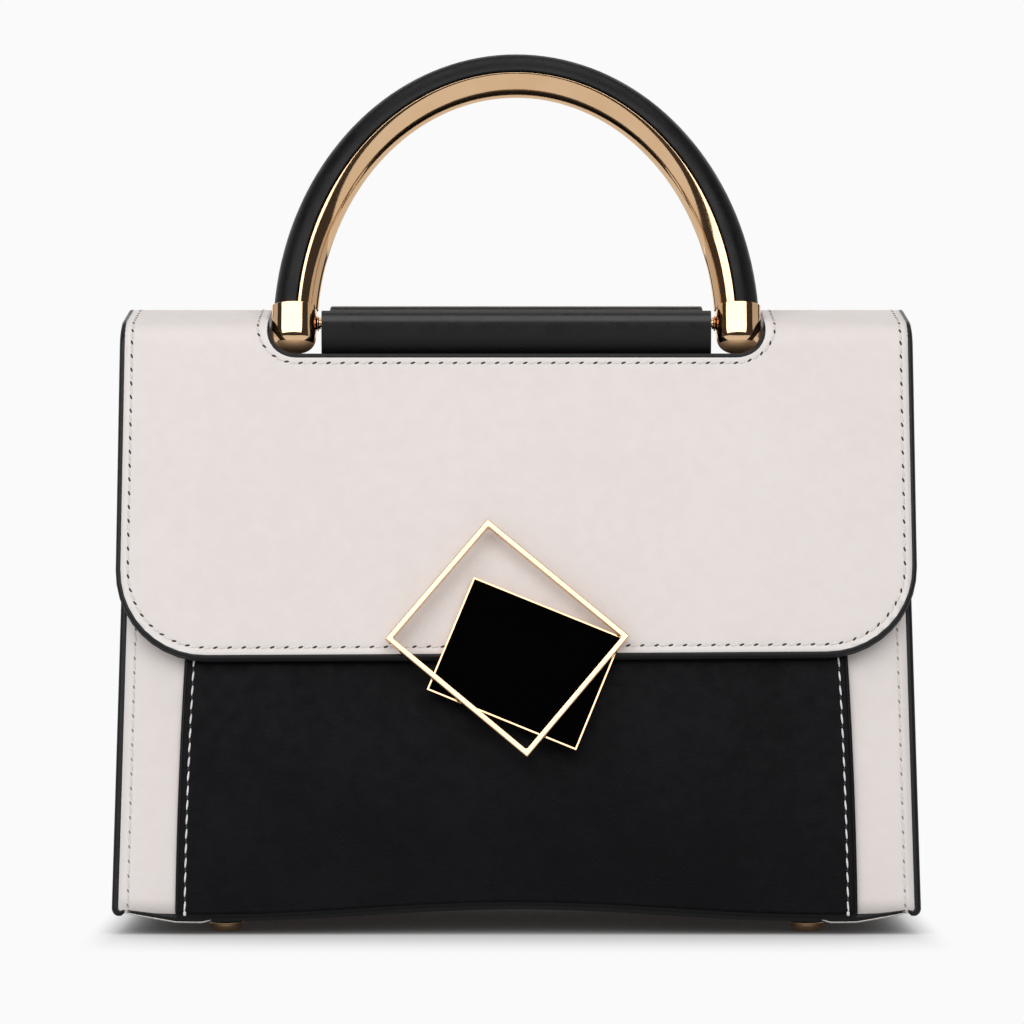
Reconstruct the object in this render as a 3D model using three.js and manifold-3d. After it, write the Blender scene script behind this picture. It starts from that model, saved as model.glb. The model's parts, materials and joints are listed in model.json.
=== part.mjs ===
// A small structured top-handle bag: an A-line body of leather walls on four feet, a flap over the
// top with a window in it, and a rigid arched handle that swings on a rod held by a leather sleeve.
// Millimetres, +Z up, the front faces -Y, and the origin is on the floor under the middle of the bag's
// bounding box, which the clasp makes deeper at the front.

import * as THREE from 'three';
import { mergeVertices } from 'three/addons/utils/BufferGeometryUtils.js';
import Module from 'manifold-3d';

const wasm = await Module();
wasm.setup();

const { degToRad, lerp } = THREE.MathUtils;

// Driving dimensions of the body
const BAG_DEPTH = 92;
const BASE_HALF_WIDTH = 110.7;
const TOP_HALF_WIDTH = 108.8;
const FRONT_LEAN = degToRad(10.2);
const BACK_LEAN = degToRad(10.7);
const FRONT_TOP = 150;
const BACK_TOP = 155;
const WALL = 2;
const GUSSET_WALL = 1.6;
const BOTTOM_WALL = 1.4;
const FIT_GAP = 0.3;
const CROWN = 2.5;

// The body's lower edge sags to a low point over each foot
const SAG_HALF_SPAN = 85;
const SAG_RISE = 3.4;
const CORNER_LIFT = 1;

// Black overlay on the front
const CENTER_PANEL_WALL = 1.4;
const CENTER_PANEL_TOP = 146;
const CENTER_PANEL_HALF_WIDTH = 93.2;
const CENTER_PANEL_NARROWING = 0.00035;

// Side walls: seam flanges turned out, and a fold that deepens towards the top
const SEAM = 5.5;
const FLANGE_SETBACK = 0.6;
const GUSSET_TOP = 148;
const GUSSET_FOLD = 9;
const GUSSET_BOTTOM_CLEARANCE = 1.1;

// Feet
const FOOT_RADIUS = 4.8;
const FOOT_PAD_RADIUS = 2.6;
const FOOT_HEIGHT = 2.8;
const FOOT_X = 80;
const FOOT_Y = 33;

// Flap: its outer surface is a run of straights and bends, from the front edge over to the back
const FLAP_WALL = 2.6;
const FLAP_HALF_WIDTH = 110.8;
const FLAP_EDGE_Y = -38.36;
const FLAP_EDGE_Z = 75.2;
const FLAP_LEAN = degToRad(11.3);
const FLAP_CORNER = 25.5;
const FLAP_BACK_CORNER = 8;
const SHOULDER_RADIUS = 9;
const SHOULDER_TURN = degToRad(66.7);
const RIDGE_RADIUS = 13;
const RIDGE_TURN = Math.PI - FLAP_LEAN - SHOULDER_TURN - BACK_LEAN;
const FLAP_RUN = [
  { stretch: 'front drop', length: 88.5, radius: Infinity, turn: 0 },
  {
    stretch: 'shoulder', length: SHOULDER_RADIUS * SHOULDER_TURN, radius: SHOULDER_RADIUS, turn: SHOULDER_TURN,
  },
  { stretch: 'roof', length: 18.8, radius: Infinity, turn: 0 },
  { stretch: 'ridge', length: RIDGE_RADIUS * RIDGE_TURN, radius: RIDGE_RADIUS, turn: RIDGE_TURN },
  { stretch: 'back drop', length: 32.6, radius: Infinity, turn: 0 },
];

// Window in the flap's top
const WINDOW_SILL = 160.1;
const WINDOW_HALF_WIDTH = 69.2;
const WINDOW_CORNER = 8;

// Handle
const HANDLE_AXIS_Y = -12;
const HANDLE_AXIS_Z = 168.5;
const HANDLE_LEAN = degToRad(12);
const HANDLE_HALF_SPAN = 62.4;
const ARCH_HALF_SPAN = 62;
const ARCH_RISE = 74.6;
const ARCH_SPRING = -2;
const ARCH_RADIUS = 6.2;
const RECESS_RADIUS = 4.2;
const WRAP_INNER_RADIUS = 4.5;
const WRAP_OUTER_RADIUS = 6.35;
const WRAP_HALF_ANGLE = degToRad(92);
const RECESS_HALF_ANGLE = degToRad(96);
const FERRULE_RADIUS = 6.4;
const FERRULE_TOP = 5.7;
const FERRULE_BALL_CENTER = -2;
const COLLAR_RADIUS = 2.2;
const SOCKET_RADIUS = 1.4;
const SOCKET_DEPTH = 5;
const ROD_RADIUS = 1.1;

// Sleeve that carries the rod
const SLEEVE_HALF_LENGTH = 54.6;
const SLEEVE_RADIUS = 4.9;
const SLEEVE_BORE = 1.5;
const SLEEVE_NECK = 3.2;
const SLEEVE_NECK_REACH = 1.9;
const SLEEVE_TAIL_END = 126;
const SLEEVE_HANG = 150;
const SLEEVE_KNEE = 8;
const SLEEVE_TAIL_GAP = 0.45;

// Clasp: an open frame over an enamelled tile, both turned clockwise seen from the front
const CLASP_Z = 80.3;
const CLASP_X = -2.5;
const FRAME_LENGTH = 50.7;
const FRAME_HEIGHT = 43.6;
const FRAME_TURN = degToRad(-40);
const FRAME_BAR = 1.7;
const FRAME_DEPTH = 2.6;
const TILE_LENGTH = 44.1;
const TILE_HEIGHT = 33.8;
const TILE_TURN = degToRad(-22.3);
const TILE_OFFSET = new THREE.Vector2(4.8, -6.8);
const TRAY_DEPTH = 2.5;
const TRAY_RIM = 0.9;
const TRAY_POCKET = 1.5;
const ENAMEL_DEPTH = 0.9;
const SOLDER_DEPTH = 0.2;
const MAGNET_RADIUS = 7;
const MAGNET_Z = 86;

const CREAM_LEATHER = { color: 0xe7dfdc, roughness: 0.5, metalness: 0 };
const BLACK_LEATHER = { color: 0x201f22, roughness: 0.45, metalness: 0 };
const GOLD = { color: 0xe2c396, roughness: 0.15, metalness: 1 };
const BLACK_ENAMEL = { color: 0x060606, roughness: 0.08, metalness: 0 };

// The pieces are drawn about the middle of the base, and the clasp stands out in front of it
const CLASP_OVERHANG = 5.6;

const bag = new THREE.Group();
bag.position.y = CLASP_OVERHANG / 2;

function addPiece(parent, name, geometry, finish) {
  geometry.computeVertexNormals();
  const mesh = new THREE.Mesh(geometry, new THREE.MeshStandardMaterial(finish));
  mesh.name = name;
  parent.add(mesh);
  return mesh;
}

// Closed meshes and booleans

function shared(geometry) {
  const bare = geometry.clone();
  bare.deleteAttribute('normal');
  bare.deleteAttribute('uv');
  return mergeVertices(bare, 1e-4);
}

function toSolid(geometry) {
  const mesh = shared(geometry);
  return new wasm.Manifold(new wasm.Mesh({
    numProp: 3,
    vertProperties: new Float32Array(mesh.getAttribute('position').array),
    triVerts: new Uint32Array(mesh.getIndex().array),
  }));
}

function toGeometry(solid) {
  const mesh = solid.getMesh();
  const geometry = new THREE.BufferGeometry();
  geometry.setAttribute('position', new THREE.BufferAttribute(mesh.vertProperties, 3));
  geometry.setIndex(new THREE.BufferAttribute(mesh.triVerts, 1));
  return geometry;
}

function ringNormal(ring) {
  const normal = new THREE.Vector3();
  ring.forEach((point, i) => {
    normal.add(new THREE.Vector3().crossVectors(point, ring[(i + 1) % ring.length]));
  });
  return normal.normalize();
}

function capTriangles(ring) {
  const normal = ringNormal(ring);
  const helper = Math.abs(normal.z) < 0.9 ? new THREE.Vector3(0, 0, 1) : new THREE.Vector3(1, 0, 0);
  const across = new THREE.Vector3().crossVectors(helper, normal).normalize();
  const along = new THREE.Vector3().crossVectors(normal, across);
  const flat = ring.map((point) => new THREE.Vector2(point.dot(across), point.dot(along)));
  return THREE.ShapeUtils.triangulateShape(flat, []);
}

function signedVolume(points, triangles) {
  return triangles.reduce((sum, [a, b, c]) => {
    const cross = new THREE.Vector3().crossVectors(points[b], points[c]);
    return sum + points[a].dot(cross) / 6;
  }, 0);
}

// The cap of a wall's ring: quads between its outer points and the inner points facing them
function stripTriangles(ring) {
  const last = ring.length - 1;
  const quads = Array.from({ length: ring.length / 2 - 1 }, (_, i) => i);
  return quads.flatMap((i) => [[i, i + 1, last - i - 1], [i, last - i - 1, last - i]]);
}

// A closed solid through rings of equal length, capped at both ends, with its faces pointing out.
function loft(rings, cap = capTriangles) {
  const size = rings[0].length;
  const points = rings.flat();
  const triangles = [];
  for (let row = 0; row + 1 < rings.length; row += 1) {
    for (let column = 0; column < size; column += 1) {
      const next = (column + 1) % size;
      const a = row * size + column;
      const b = row * size + next;
      triangles.push([a, b, b + size], [a, b + size, a + size]);
    }
  }
  const last = (rings.length - 1) * size;
  cap(rings[0]).forEach(([a, b, c]) => triangles.push([c, b, a]));
  cap(rings.at(-1)).forEach(([a, b, c]) => triangles.push([last + a, last + b, last + c]));
  const outward = signedVolume(points, triangles) > 0;
  const geometry = new THREE.BufferGeometry().setFromPoints(points);
  geometry.setIndex(triangles.flatMap(([a, b, c]) => (outward ? [a, b, c] : [a, c, b])));
  return geometry;
}

// Shapes drawn in the (y, z) plane and extruded across the bag
function acrossBag(shape, halfLength, curveSegments = 12) {
  const geometry = new THREE.ExtrudeGeometry(shape, {
    depth: 2 * halfLength, bevelEnabled: false, curveSegments,
  });
  geometry.translate(0, 0, -halfLength);
  return geometry.applyMatrix4(new THREE.Matrix4().makeBasis(
    new THREE.Vector3(0, 1, 0), new THREE.Vector3(0, 0, 1), new THREE.Vector3(1, 0, 0),
  ));
}

// Shapes drawn in the (x, z) plane and extruded towards the front, from y = start
function towardsFront(shape, start, depth, curveSegments = 8) {
  const geometry = new THREE.ExtrudeGeometry(shape, { depth, bevelEnabled: false, curveSegments });
  geometry.applyMatrix4(new THREE.Matrix4().makeBasis(
    new THREE.Vector3(1, 0, 0), new THREE.Vector3(0, 0, 1), new THREE.Vector3(0, -1, 0),
  ));
  return geometry.translate(0, start, 0);
}

function range(count) {
  return Array.from({ length: count + 1 }, (_, i) => i / count);
}

// The body's shared surfaces

const BOTTOM_UNDERSIDE = FOOT_HEIGHT + FIT_GAP;
const BOTTOM_TOPSIDE = BOTTOM_UNDERSIDE + BOTTOM_WALL;
const PANEL_BOTTOM = BOTTOM_TOPSIDE + FIT_GAP;
const CROWN_SPAN = FRONT_TOP - PANEL_BOTTOM;

function sag(x) {
  const reach = Math.abs(x);
  if (reach < SAG_HALF_SPAN) {
    return (SAG_RISE / 2) * (1 + Math.cos((Math.PI * reach) / SAG_HALF_SPAN));
  }
  return CORNER_LIFT * ((reach - SAG_HALF_SPAN) / (BASE_HALF_WIDTH - SAG_HALF_SPAN)) ** 2;
}

function bodyHalfWidth(z) {
  return lerp(BASE_HALF_WIDTH, TOP_HALF_WIDTH, (z - PANEL_BOTTOM) / CROWN_SPAN);
}

// How far the filled-out panels stand proud of flat, front and back alike
function crown(x, z) {
  const up = THREE.MathUtils.clamp((z - PANEL_BOTTOM) / CROWN_SPAN, 0, 1);
  const across = Math.max(0, 1 - (x / BASE_HALF_WIDTH) ** 2);
  return CROWN * across * Math.sin(Math.PI * up);
}

function centerPanelFace(z) {
  return -BAG_DEPTH / 2 + (z - PANEL_BOTTOM) * Math.tan(FRONT_LEAN);
}

function frontFace(z) {
  return centerPanelFace(z) + CENTER_PANEL_WALL + FIT_GAP;
}

function backFace(z) {
  return BAG_DEPTH / 2 - (z - PANEL_BOTTOM) * Math.tan(BACK_LEAN);
}

// A wall as rings of outer points one way and inner points back again.
// place(across, up, through) takes -1 to 1, an entry of levels, and 0 outside or 1 inside.
function wall(columns, levels, place) {
  return loft(levels.map((up) => [
    ...columns.map((across) => place(across, up, 0)),
    ...columns.toReversed().map((across) => place(across, up, 1)),
  ]), stripTriangles);
}

const PANEL_COLUMNS = range(14).map((t) => 2 * t - 1);
const PANEL_LEVELS = range(8);

function uprightPanel({ face, inward, thickness, halfWidth, top }) {
  return wall(PANEL_COLUMNS, PANEL_LEVELS, (across, up, through) => {
    const low = PANEL_BOTTOM + sag(across * halfWidth(PANEL_BOTTOM));
    const z = lerp(low, top, up);
    const x = across * halfWidth(z);
    return new THREE.Vector3(x, face(z) + inward * (through * thickness - crown(x, z)), z);
  });
}

addPiece(bag, 'front_panel', uprightPanel({
  face: frontFace, inward: 1, thickness: WALL, halfWidth: bodyHalfWidth, top: FRONT_TOP,
}), CREAM_LEATHER);

addPiece(bag, 'front_center_panel', uprightPanel({
  face: centerPanelFace,
  inward: 1,
  thickness: CENTER_PANEL_WALL,
  halfWidth: (z) => CENTER_PANEL_HALF_WIDTH - CENTER_PANEL_NARROWING * (z - PANEL_BOTTOM) ** 2,
  top: CENTER_PANEL_TOP,
}), BLACK_LEATHER);

addPiece(bag, 'back_panel', uprightPanel({
  face: backFace, inward: -1, thickness: WALL, halfWidth: bodyHalfWidth, top: BACK_TOP,
}), CREAM_LEATHER);

// Side walls: a channel that opens outwards, its flanges flat behind the panels

function gusset(side) {
  const low = PANEL_BOTTOM + GUSSET_BOTTOM_CLEARANCE;
  const folds = range(6);
  const rings = range(8).map((up) => {
    const z = lerp(low, GUSSET_TOP, up);
    const front = frontFace(z) + WALL + FIT_GAP;
    const back = backFace(z) - WALL - FIT_GAP;
    const tip = bodyHalfWidth(z) - FLANGE_SETBACK;
    const root = bodyHalfWidth(z) - SEAM;
    const fold = (t) => GUSSET_FOLD * up * up * Math.sin(Math.PI * t) ** 2;
    const outerFront = front + GUSSET_WALL;
    const outerBack = back - GUSSET_WALL;
    const outline = [
      [tip, front],
      [tip, outerFront],
      ...folds.map((t) => [root - fold(t), lerp(outerFront, outerBack, t)]),
      [tip, outerBack],
      [tip, back],
      ...folds.toReversed().map((t) => [root - GUSSET_WALL - fold(t), lerp(front, back, t)]),
    ];
    return outline.map(([x, y]) => new THREE.Vector3(side * x, y, z));
  });
  return loft(rings);
}

addPiece(bag, 'gusset_left', gusset(-1), CREAM_LEATHER);
addPiece(bag, 'gusset_right', gusset(1), CREAM_LEATHER);

// Bottom and feet

const BOTTOM_SETBACK = 0.4;
const BOTTOM_CORNER = 4;

function bottomPanel() {
  const halfDepth = BAG_DEPTH / 2 - BOTTOM_SETBACK;
  const halfLength = BASE_HALF_WIDTH - BOTTOM_SETBACK;
  const corner = range(3).map((t) => (t * Math.PI) / 2);
  const ends = corner.map((turn) => ({
    x: halfLength - BOTTOM_CORNER * (1 - Math.sin(turn)),
    cut: BOTTOM_CORNER * (1 - Math.cos(turn)),
  }));
  const straight = range(16).map((t) => ({ x: lerp(0, halfLength - BOTTOM_CORNER, t), cut: 0 }));
  const rightHalf = [...straight.slice(0, -1), ...ends];
  const leftHalf = rightHalf.slice(1).toReversed().map(({ x, cut }) => ({ x: -x, cut }));
  return loft([...leftHalf, ...rightHalf].map(({ x, cut }) => {
    const y = halfDepth - cut;
    const under = BOTTOM_UNDERSIDE + sag(x);
    const over = BOTTOM_TOPSIDE + sag(x);
    return [[-y, under], [y, under], [y, over], [-y, over]].map(
      ([depth, z]) => new THREE.Vector3(x, depth, z),
    );
  }));
}

addPiece(bag, 'bottom_panel', bottomPanel(), CREAM_LEATHER);

function foot() {
  const dome = new THREE.Path();
  dome.moveTo(0, 0);
  dome.lineTo(FOOT_PAD_RADIUS, 0);
  dome.quadraticCurveTo(FOOT_RADIUS, 0, FOOT_RADIUS, FOOT_HEIGHT);
  dome.lineTo(0, FOOT_HEIGHT);
  const geometry = new THREE.LatheGeometry(dome.getPoints(4), 16);
  return toGeometry(toSolid(geometry.rotateX(Math.PI / 2)));
}

for (const [depthName, depthSign] of [['front', -1], ['back', 1]]) {
  for (const [sideName, sideSign] of [['left', -1], ['right', 1]]) {
    const mesh = addPiece(bag, `foot_${depthName}_${sideName}`, foot(), GOLD);
    mesh.position.set(sideSign * FOOT_X, depthSign * FOOT_Y, 0);
  }
}

// Flap

// A point on the flap's outer surface at a distance along the run, with its direction of travel
function flapStation(distance) {
  let y = FLAP_EDGE_Y;
  let z = FLAP_EDGE_Z;
  let heading = FLAP_LEAN;
  let left = distance;
  for (const { length, radius, turn } of FLAP_RUN) {
    const part = Math.min(left, length);
    if (turn === 0) {
      y += part * Math.sin(heading);
      z += part * Math.cos(heading);
    } else {
      const turned = heading + part / radius;
      y += radius * (Math.cos(heading) - Math.cos(turned));
      z += radius * (Math.sin(turned) - Math.sin(heading));
      heading = turned;
    }
    left -= part;
  }
  return { y, z, heading };
}

const FLAP_LENGTH = FLAP_RUN.reduce((sum, { length }) => sum + length, 0);

function roundedEnd(distance, radius) {
  const short = Math.max(0, radius - distance);
  return radius - Math.sqrt(radius * radius - short * short);
}

function flapHalfWidth(distance) {
  const front = roundedEnd(distance, FLAP_CORNER);
  const back = roundedEnd(FLAP_LENGTH - distance, FLAP_BACK_CORNER);
  return FLAP_HALF_WIDTH - front - back;
}

function flapDistances() {
  const arc = (radius) => range(6).map((t) => radius * (1 - Math.cos((t * Math.PI) / 2)));
  const distances = [...arc(FLAP_CORNER), ...arc(FLAP_BACK_CORNER).map((d) => FLAP_LENGTH - d)];
  const stepTurn = degToRad(8);
  let start = 0;
  for (const { length, turn } of FLAP_RUN) {
    const steps = Math.max(2, Math.ceil(turn / stepTurn));
    distances.push(...range(steps).map((t) => start + t * length));
    start += length;
  }
  const sorted = distances.toSorted((a, b) => a - b);
  return sorted.filter((d, i) => i === 0 || d - sorted[i - 1] > 0.05);
}

function flapSheet() {
  return wall(PANEL_COLUMNS, flapDistances(), (across, distance, through) => {
    const { y, z, heading } = flapStation(distance);
    const x = across * flapHalfWidth(distance);
    const swell = crown(x, z) * (heading < Math.PI / 2 ? -1 : 1);
    const inY = Math.cos(heading) * FLAP_WALL * through;
    const inZ = -Math.sin(heading) * FLAP_WALL * through;
    return new THREE.Vector3(x, y + swell + inY, z + inZ);
  });
}

function windowPrism() {
  const top = HANDLE_AXIS_Z + ARCH_RISE;
  const shape = new THREE.Shape();
  shape.moveTo(-WINDOW_HALF_WIDTH, top);
  shape.lineTo(-WINDOW_HALF_WIDTH, WINDOW_SILL + WINDOW_CORNER);
  shape.absarc(
    WINDOW_CORNER - WINDOW_HALF_WIDTH, WINDOW_SILL + WINDOW_CORNER, WINDOW_CORNER, Math.PI, 1.5 * Math.PI,
  );
  shape.absarc(
    WINDOW_HALF_WIDTH - WINDOW_CORNER, WINDOW_SILL + WINDOW_CORNER, WINDOW_CORNER, -0.5 * Math.PI, 0,
  );
  shape.lineTo(WINDOW_HALF_WIDTH, top);
  return towardsFront(shape, BAG_DEPTH, 2 * BAG_DEPTH);
}

addPiece(
  bag, 'flap', toGeometry(toSolid(flapSheet()).subtract(toSolid(windowPrism()))), CREAM_LEATHER,
);

// Sleeve: a rolled loop round the rod, a neck under it, and a tail down inside the back panel

function band(line, thickness) {
  const edge = (sign) => line.map((point, i) => {
    const before = line[Math.max(i - 1, 0)];
    const after = line[Math.min(i + 1, line.length - 1)];
    const into = new THREE.Vector2().subVectors(point, i === 0 ? after : before);
    if (i === 0) into.negate();
    into.normalize();
    const out = i === line.length - 1 ? into.clone() : new THREE.Vector2().subVectors(after, point).normalize();
    const middle = new THREE.Vector2().addVectors(into, out).normalize();
    const mitre = thickness / 2 / middle.dot(into);
    return new THREE.Vector2(point.x - sign * middle.y * mitre, point.y + sign * middle.x * mitre);
  });
  return new THREE.Shape([...edge(1), ...edge(-1).toReversed()]);
}

function sleeve() {
  const tailInset = WALL / Math.cos(BACK_LEAN) + SLEEVE_TAIL_GAP + SLEEVE_NECK / 4;
  const behind = (z) => new THREE.Vector2(backFace(z) + crown(SLEEVE_HALF_LENGTH, z) - tailInset, z);
  const line = new THREE.Path();
  line.moveTo(HANDLE_AXIS_Y, HANDLE_AXIS_Z - SLEEVE_RADIUS / 2);
  line.lineTo(HANDLE_AXIS_Y, HANDLE_AXIS_Z - 2 * SLEEVE_RADIUS);
  line.quadraticCurveTo(HANDLE_AXIS_Y, SLEEVE_HANG, 0, SLEEVE_HANG);
  const knee = behind(SLEEVE_HANG);
  const below = behind(SLEEVE_HANG - SLEEVE_KNEE);
  line.lineTo(knee.x - SLEEVE_KNEE, SLEEVE_HANG);
  line.quadraticCurveTo(knee.x, knee.y, below.x, below.y);
  const end = behind(SLEEVE_TAIL_END);
  line.lineTo(end.x, end.y);
  const loop = new THREE.Shape();
  loop.absarc(HANDLE_AXIS_Y, HANDLE_AXIS_Z, SLEEVE_RADIUS, 0, 2 * Math.PI);
  const bore = new THREE.Shape();
  bore.absarc(HANDLE_AXIS_Y, HANDLE_AXIS_Z, SLEEVE_BORE, 0, 2 * Math.PI);
  const roll = toSolid(acrossBag(loop, SLEEVE_HALF_LENGTH, 14));
  const tail = toSolid(acrossBag(band(line.getPoints(6), SLEEVE_NECK / 2), SLEEVE_HALF_LENGTH));
  const neckLine = [0.5, SLEEVE_NECK_REACH].map(
    (radii) => new THREE.Vector2(HANDLE_AXIS_Y, HANDLE_AXIS_Z - radii * SLEEVE_RADIUS),
  );
  const neck = toSolid(acrossBag(band(neckLine, SLEEVE_NECK), SLEEVE_HALF_LENGTH));
  const hole = toSolid(acrossBag(bore, SLEEVE_HALF_LENGTH + WALL, 8));
  return toGeometry(roll.add(neck).add(tail).subtract(hole));
}

addPiece(bag, 'handle_sleeve', sleeve(), BLACK_LEATHER);

// Handle, drawn upright about its axis and then leaned back

const handle = new THREE.Group();
handle.position.set(0, HANDLE_AXIS_Y, HANDLE_AXIS_Z);
handle.rotation.x = -HANDLE_LEAN;
bag.add(handle);

// Stations along the arch from the left leg's foot to the right one, with the outward direction
function archStations(legFoot) {
  const start = Math.asin((legFoot - ARCH_SPRING) / ARCH_RISE);
  return range(32).map((t) => {
    const turn = lerp(Math.PI - start, start, t);
    return {
      x: ARCH_HALF_SPAN * Math.cos(turn),
      z: ARCH_SPRING + ARCH_RISE * Math.sin(turn),
      out: new THREE.Vector3(ARCH_RISE * Math.cos(turn), 0, ARCH_HALF_SPAN * Math.sin(turn)).normalize(),
    };
  });
}

// A section in polar form, its angle counted from the arch's outward direction, swept along the arch
function archSweep(section, legFoot) {
  return loft(archStations(legFoot).map(({ x, z, out }) => section.map(({ radius, angle }) => {
    const reach = radius * Math.cos(angle);
    return new THREE.Vector3(x + reach * out.x, radius * Math.sin(angle), z + reach * out.z);
  })));
}

function sectionArc(radius, from, to, steps) {
  return range(steps).map((t) => ({ radius, angle: lerp(from, to, t) }));
}

function castingSection() {
  return [
    ...sectionArc(RECESS_RADIUS, -RECESS_HALF_ANGLE, RECESS_HALF_ANGLE, 8),
    ...sectionArc(ARCH_RADIUS, RECESS_HALF_ANGLE, 2 * Math.PI - RECESS_HALF_ANGLE, 10),
  ];
}

function wrapSection() {
  return [
    ...sectionArc(WRAP_OUTER_RADIUS, -WRAP_HALF_ANGLE, WRAP_HALF_ANGLE, 10),
    ...sectionArc(WRAP_INNER_RADIUS, WRAP_HALF_ANGLE, -WRAP_HALF_ANGLE, 8),
  ];
}

function ferrule(side) {
  const profile = new THREE.Path();
  profile.moveTo(0, FERRULE_BALL_CENTER - FERRULE_RADIUS);
  profile.absarc(0, FERRULE_BALL_CENTER, FERRULE_RADIUS, -Math.PI / 2, 0);
  profile.lineTo(FERRULE_RADIUS, FERRULE_TOP);
  profile.lineTo(0, FERRULE_TOP);
  const body = new THREE.LatheGeometry(profile.getPoints(6), 18).rotateX(Math.PI / 2);
  body.translate(side * HANDLE_HALF_SPAN, 0, 0);
  const collarLength = HANDLE_HALF_SPAN - SLEEVE_HALF_LENGTH - FIT_GAP;
  const collar = new THREE.CylinderGeometry(COLLAR_RADIUS, COLLAR_RADIUS, collarLength, 14);
  collar.rotateZ(Math.PI / 2);
  collar.translate(side * (HANDLE_HALF_SPAN - collarLength / 2), 0, 0);
  return toSolid(body).add(toSolid(collar));
}

const SOCKET_END = HANDLE_HALF_SPAN - FERRULE_RADIUS + SOCKET_DEPTH;

function handleArch() {
  const socket = new THREE.CylinderGeometry(SOCKET_RADIUS, SOCKET_RADIUS, 2 * SOCKET_END, 12);
  const arch = toSolid(archSweep(castingSection(), FERRULE_TOP - 3 * FIT_GAP));
  const casting = arch.add(ferrule(-1)).add(ferrule(1));
  return toGeometry(casting.subtract(toSolid(socket.rotateZ(Math.PI / 2))));
}

addPiece(handle, 'handle_arch', handleArch(), GOLD);
addPiece(handle, 'handle_wrap', archSweep(wrapSection(), FERRULE_TOP + FIT_GAP), BLACK_LEATHER);

const rodLength = 2 * (SOCKET_END - FIT_GAP);
const rod = addPiece(
  handle, 'handle_rod', shared(new THREE.CylinderGeometry(ROD_RADIUS, ROD_RADIUS, rodLength, 12)), GOLD,
);
rod.rotation.z = Math.PI / 2;

// Clasp, drawn upright on a plane that lies on the flap's front

function flapFrontAt(z) {
  return FLAP_EDGE_Y + (z - FLAP_EDGE_Z) * Math.tan(FLAP_LEAN);
}

const clasp = new THREE.Group();
clasp.position.set(CLASP_X, flapFrontAt(CLASP_Z) - crown(CLASP_X, CLASP_Z), CLASP_Z);
clasp.rotation.x = -FLAP_LEAN;
bag.add(clasp);

function turnedRectangle(length, height, turn, center) {
  const corners = [[-1, -1], [1, -1], [1, 1], [-1, 1]];
  return corners.map(([i, j]) => new THREE.Vector2((i * length) / 2, (j * height) / 2)
    .rotateAround(new THREE.Vector2(), turn)
    .add(center));
}

function plate(length, height, turn, center, start, depth) {
  return towardsFront(new THREE.Shape(turnedRectangle(length, height, turn, center)), start, depth);
}

function claspMetal() {
  const frameStart = -FIT_GAP - TRAY_DEPTH + SOLDER_DEPTH;
  const middle = new THREE.Vector2();
  const outer = new THREE.Shape(turnedRectangle(FRAME_LENGTH, FRAME_HEIGHT, FRAME_TURN, middle));
  outer.holes.push(new THREE.Path(turnedRectangle(
    FRAME_LENGTH - 2 * FRAME_BAR, FRAME_HEIGHT - 2 * FRAME_BAR, FRAME_TURN, middle,
  )));
  const frame = toSolid(towardsFront(outer, frameStart, FRAME_DEPTH + SOLDER_DEPTH));
  const tray = toSolid(plate(TILE_LENGTH, TILE_HEIGHT, TILE_TURN, TILE_OFFSET, -FIT_GAP, TRAY_DEPTH));
  const pocket = toSolid(plate(
    TILE_LENGTH - 2 * TRAY_RIM, TILE_HEIGHT - 2 * TRAY_RIM, TILE_TURN, TILE_OFFSET,
    -FIT_GAP - TRAY_DEPTH + TRAY_POCKET, TRAY_POCKET,
  ));
  return toGeometry(tray.subtract(pocket).add(frame));
}

addPiece(clasp, 'clasp_frame', claspMetal(), GOLD);

const enamelInset = 2 * (TRAY_RIM + FIT_GAP);
addPiece(clasp, 'clasp_enamel', shared(plate(
  TILE_LENGTH - enamelInset, TILE_HEIGHT - enamelInset, TILE_TURN, TILE_OFFSET,
  -2 * FIT_GAP - TRAY_DEPTH + TRAY_POCKET, ENAMEL_DEPTH,
)), BLACK_ENAMEL);

// Magnet disc between the flap and the black overlay
const flapInside = flapFrontAt(MAGNET_Z) + FLAP_WALL / Math.cos(FLAP_LEAN);
const magnetSpace = centerPanelFace(MAGNET_Z) - flapInside;
const magnet = addPiece(bag, 'clasp_magnet', shared(new THREE.CylinderGeometry(
  MAGNET_RADIUS, MAGNET_RADIUS, magnetSpace - 2 * FIT_GAP, 20,
)), GOLD);
magnet.position.set(0, flapInside + magnetSpace / 2 - crown(0, MAGNET_Z), MAGNET_Z);
magnet.rotation.x = -(FLAP_LEAN + FRONT_LEAN) / 2;

export default bag;
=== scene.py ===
"""The looks of a small top-handle flap bag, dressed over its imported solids.

Pieces are drawn in millimetres, in the solids' own frame, and are scaled to metres when they are finished.
"""

import json
import math

import bmesh
import bpy
from mathutils import Matrix, Vector


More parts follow.
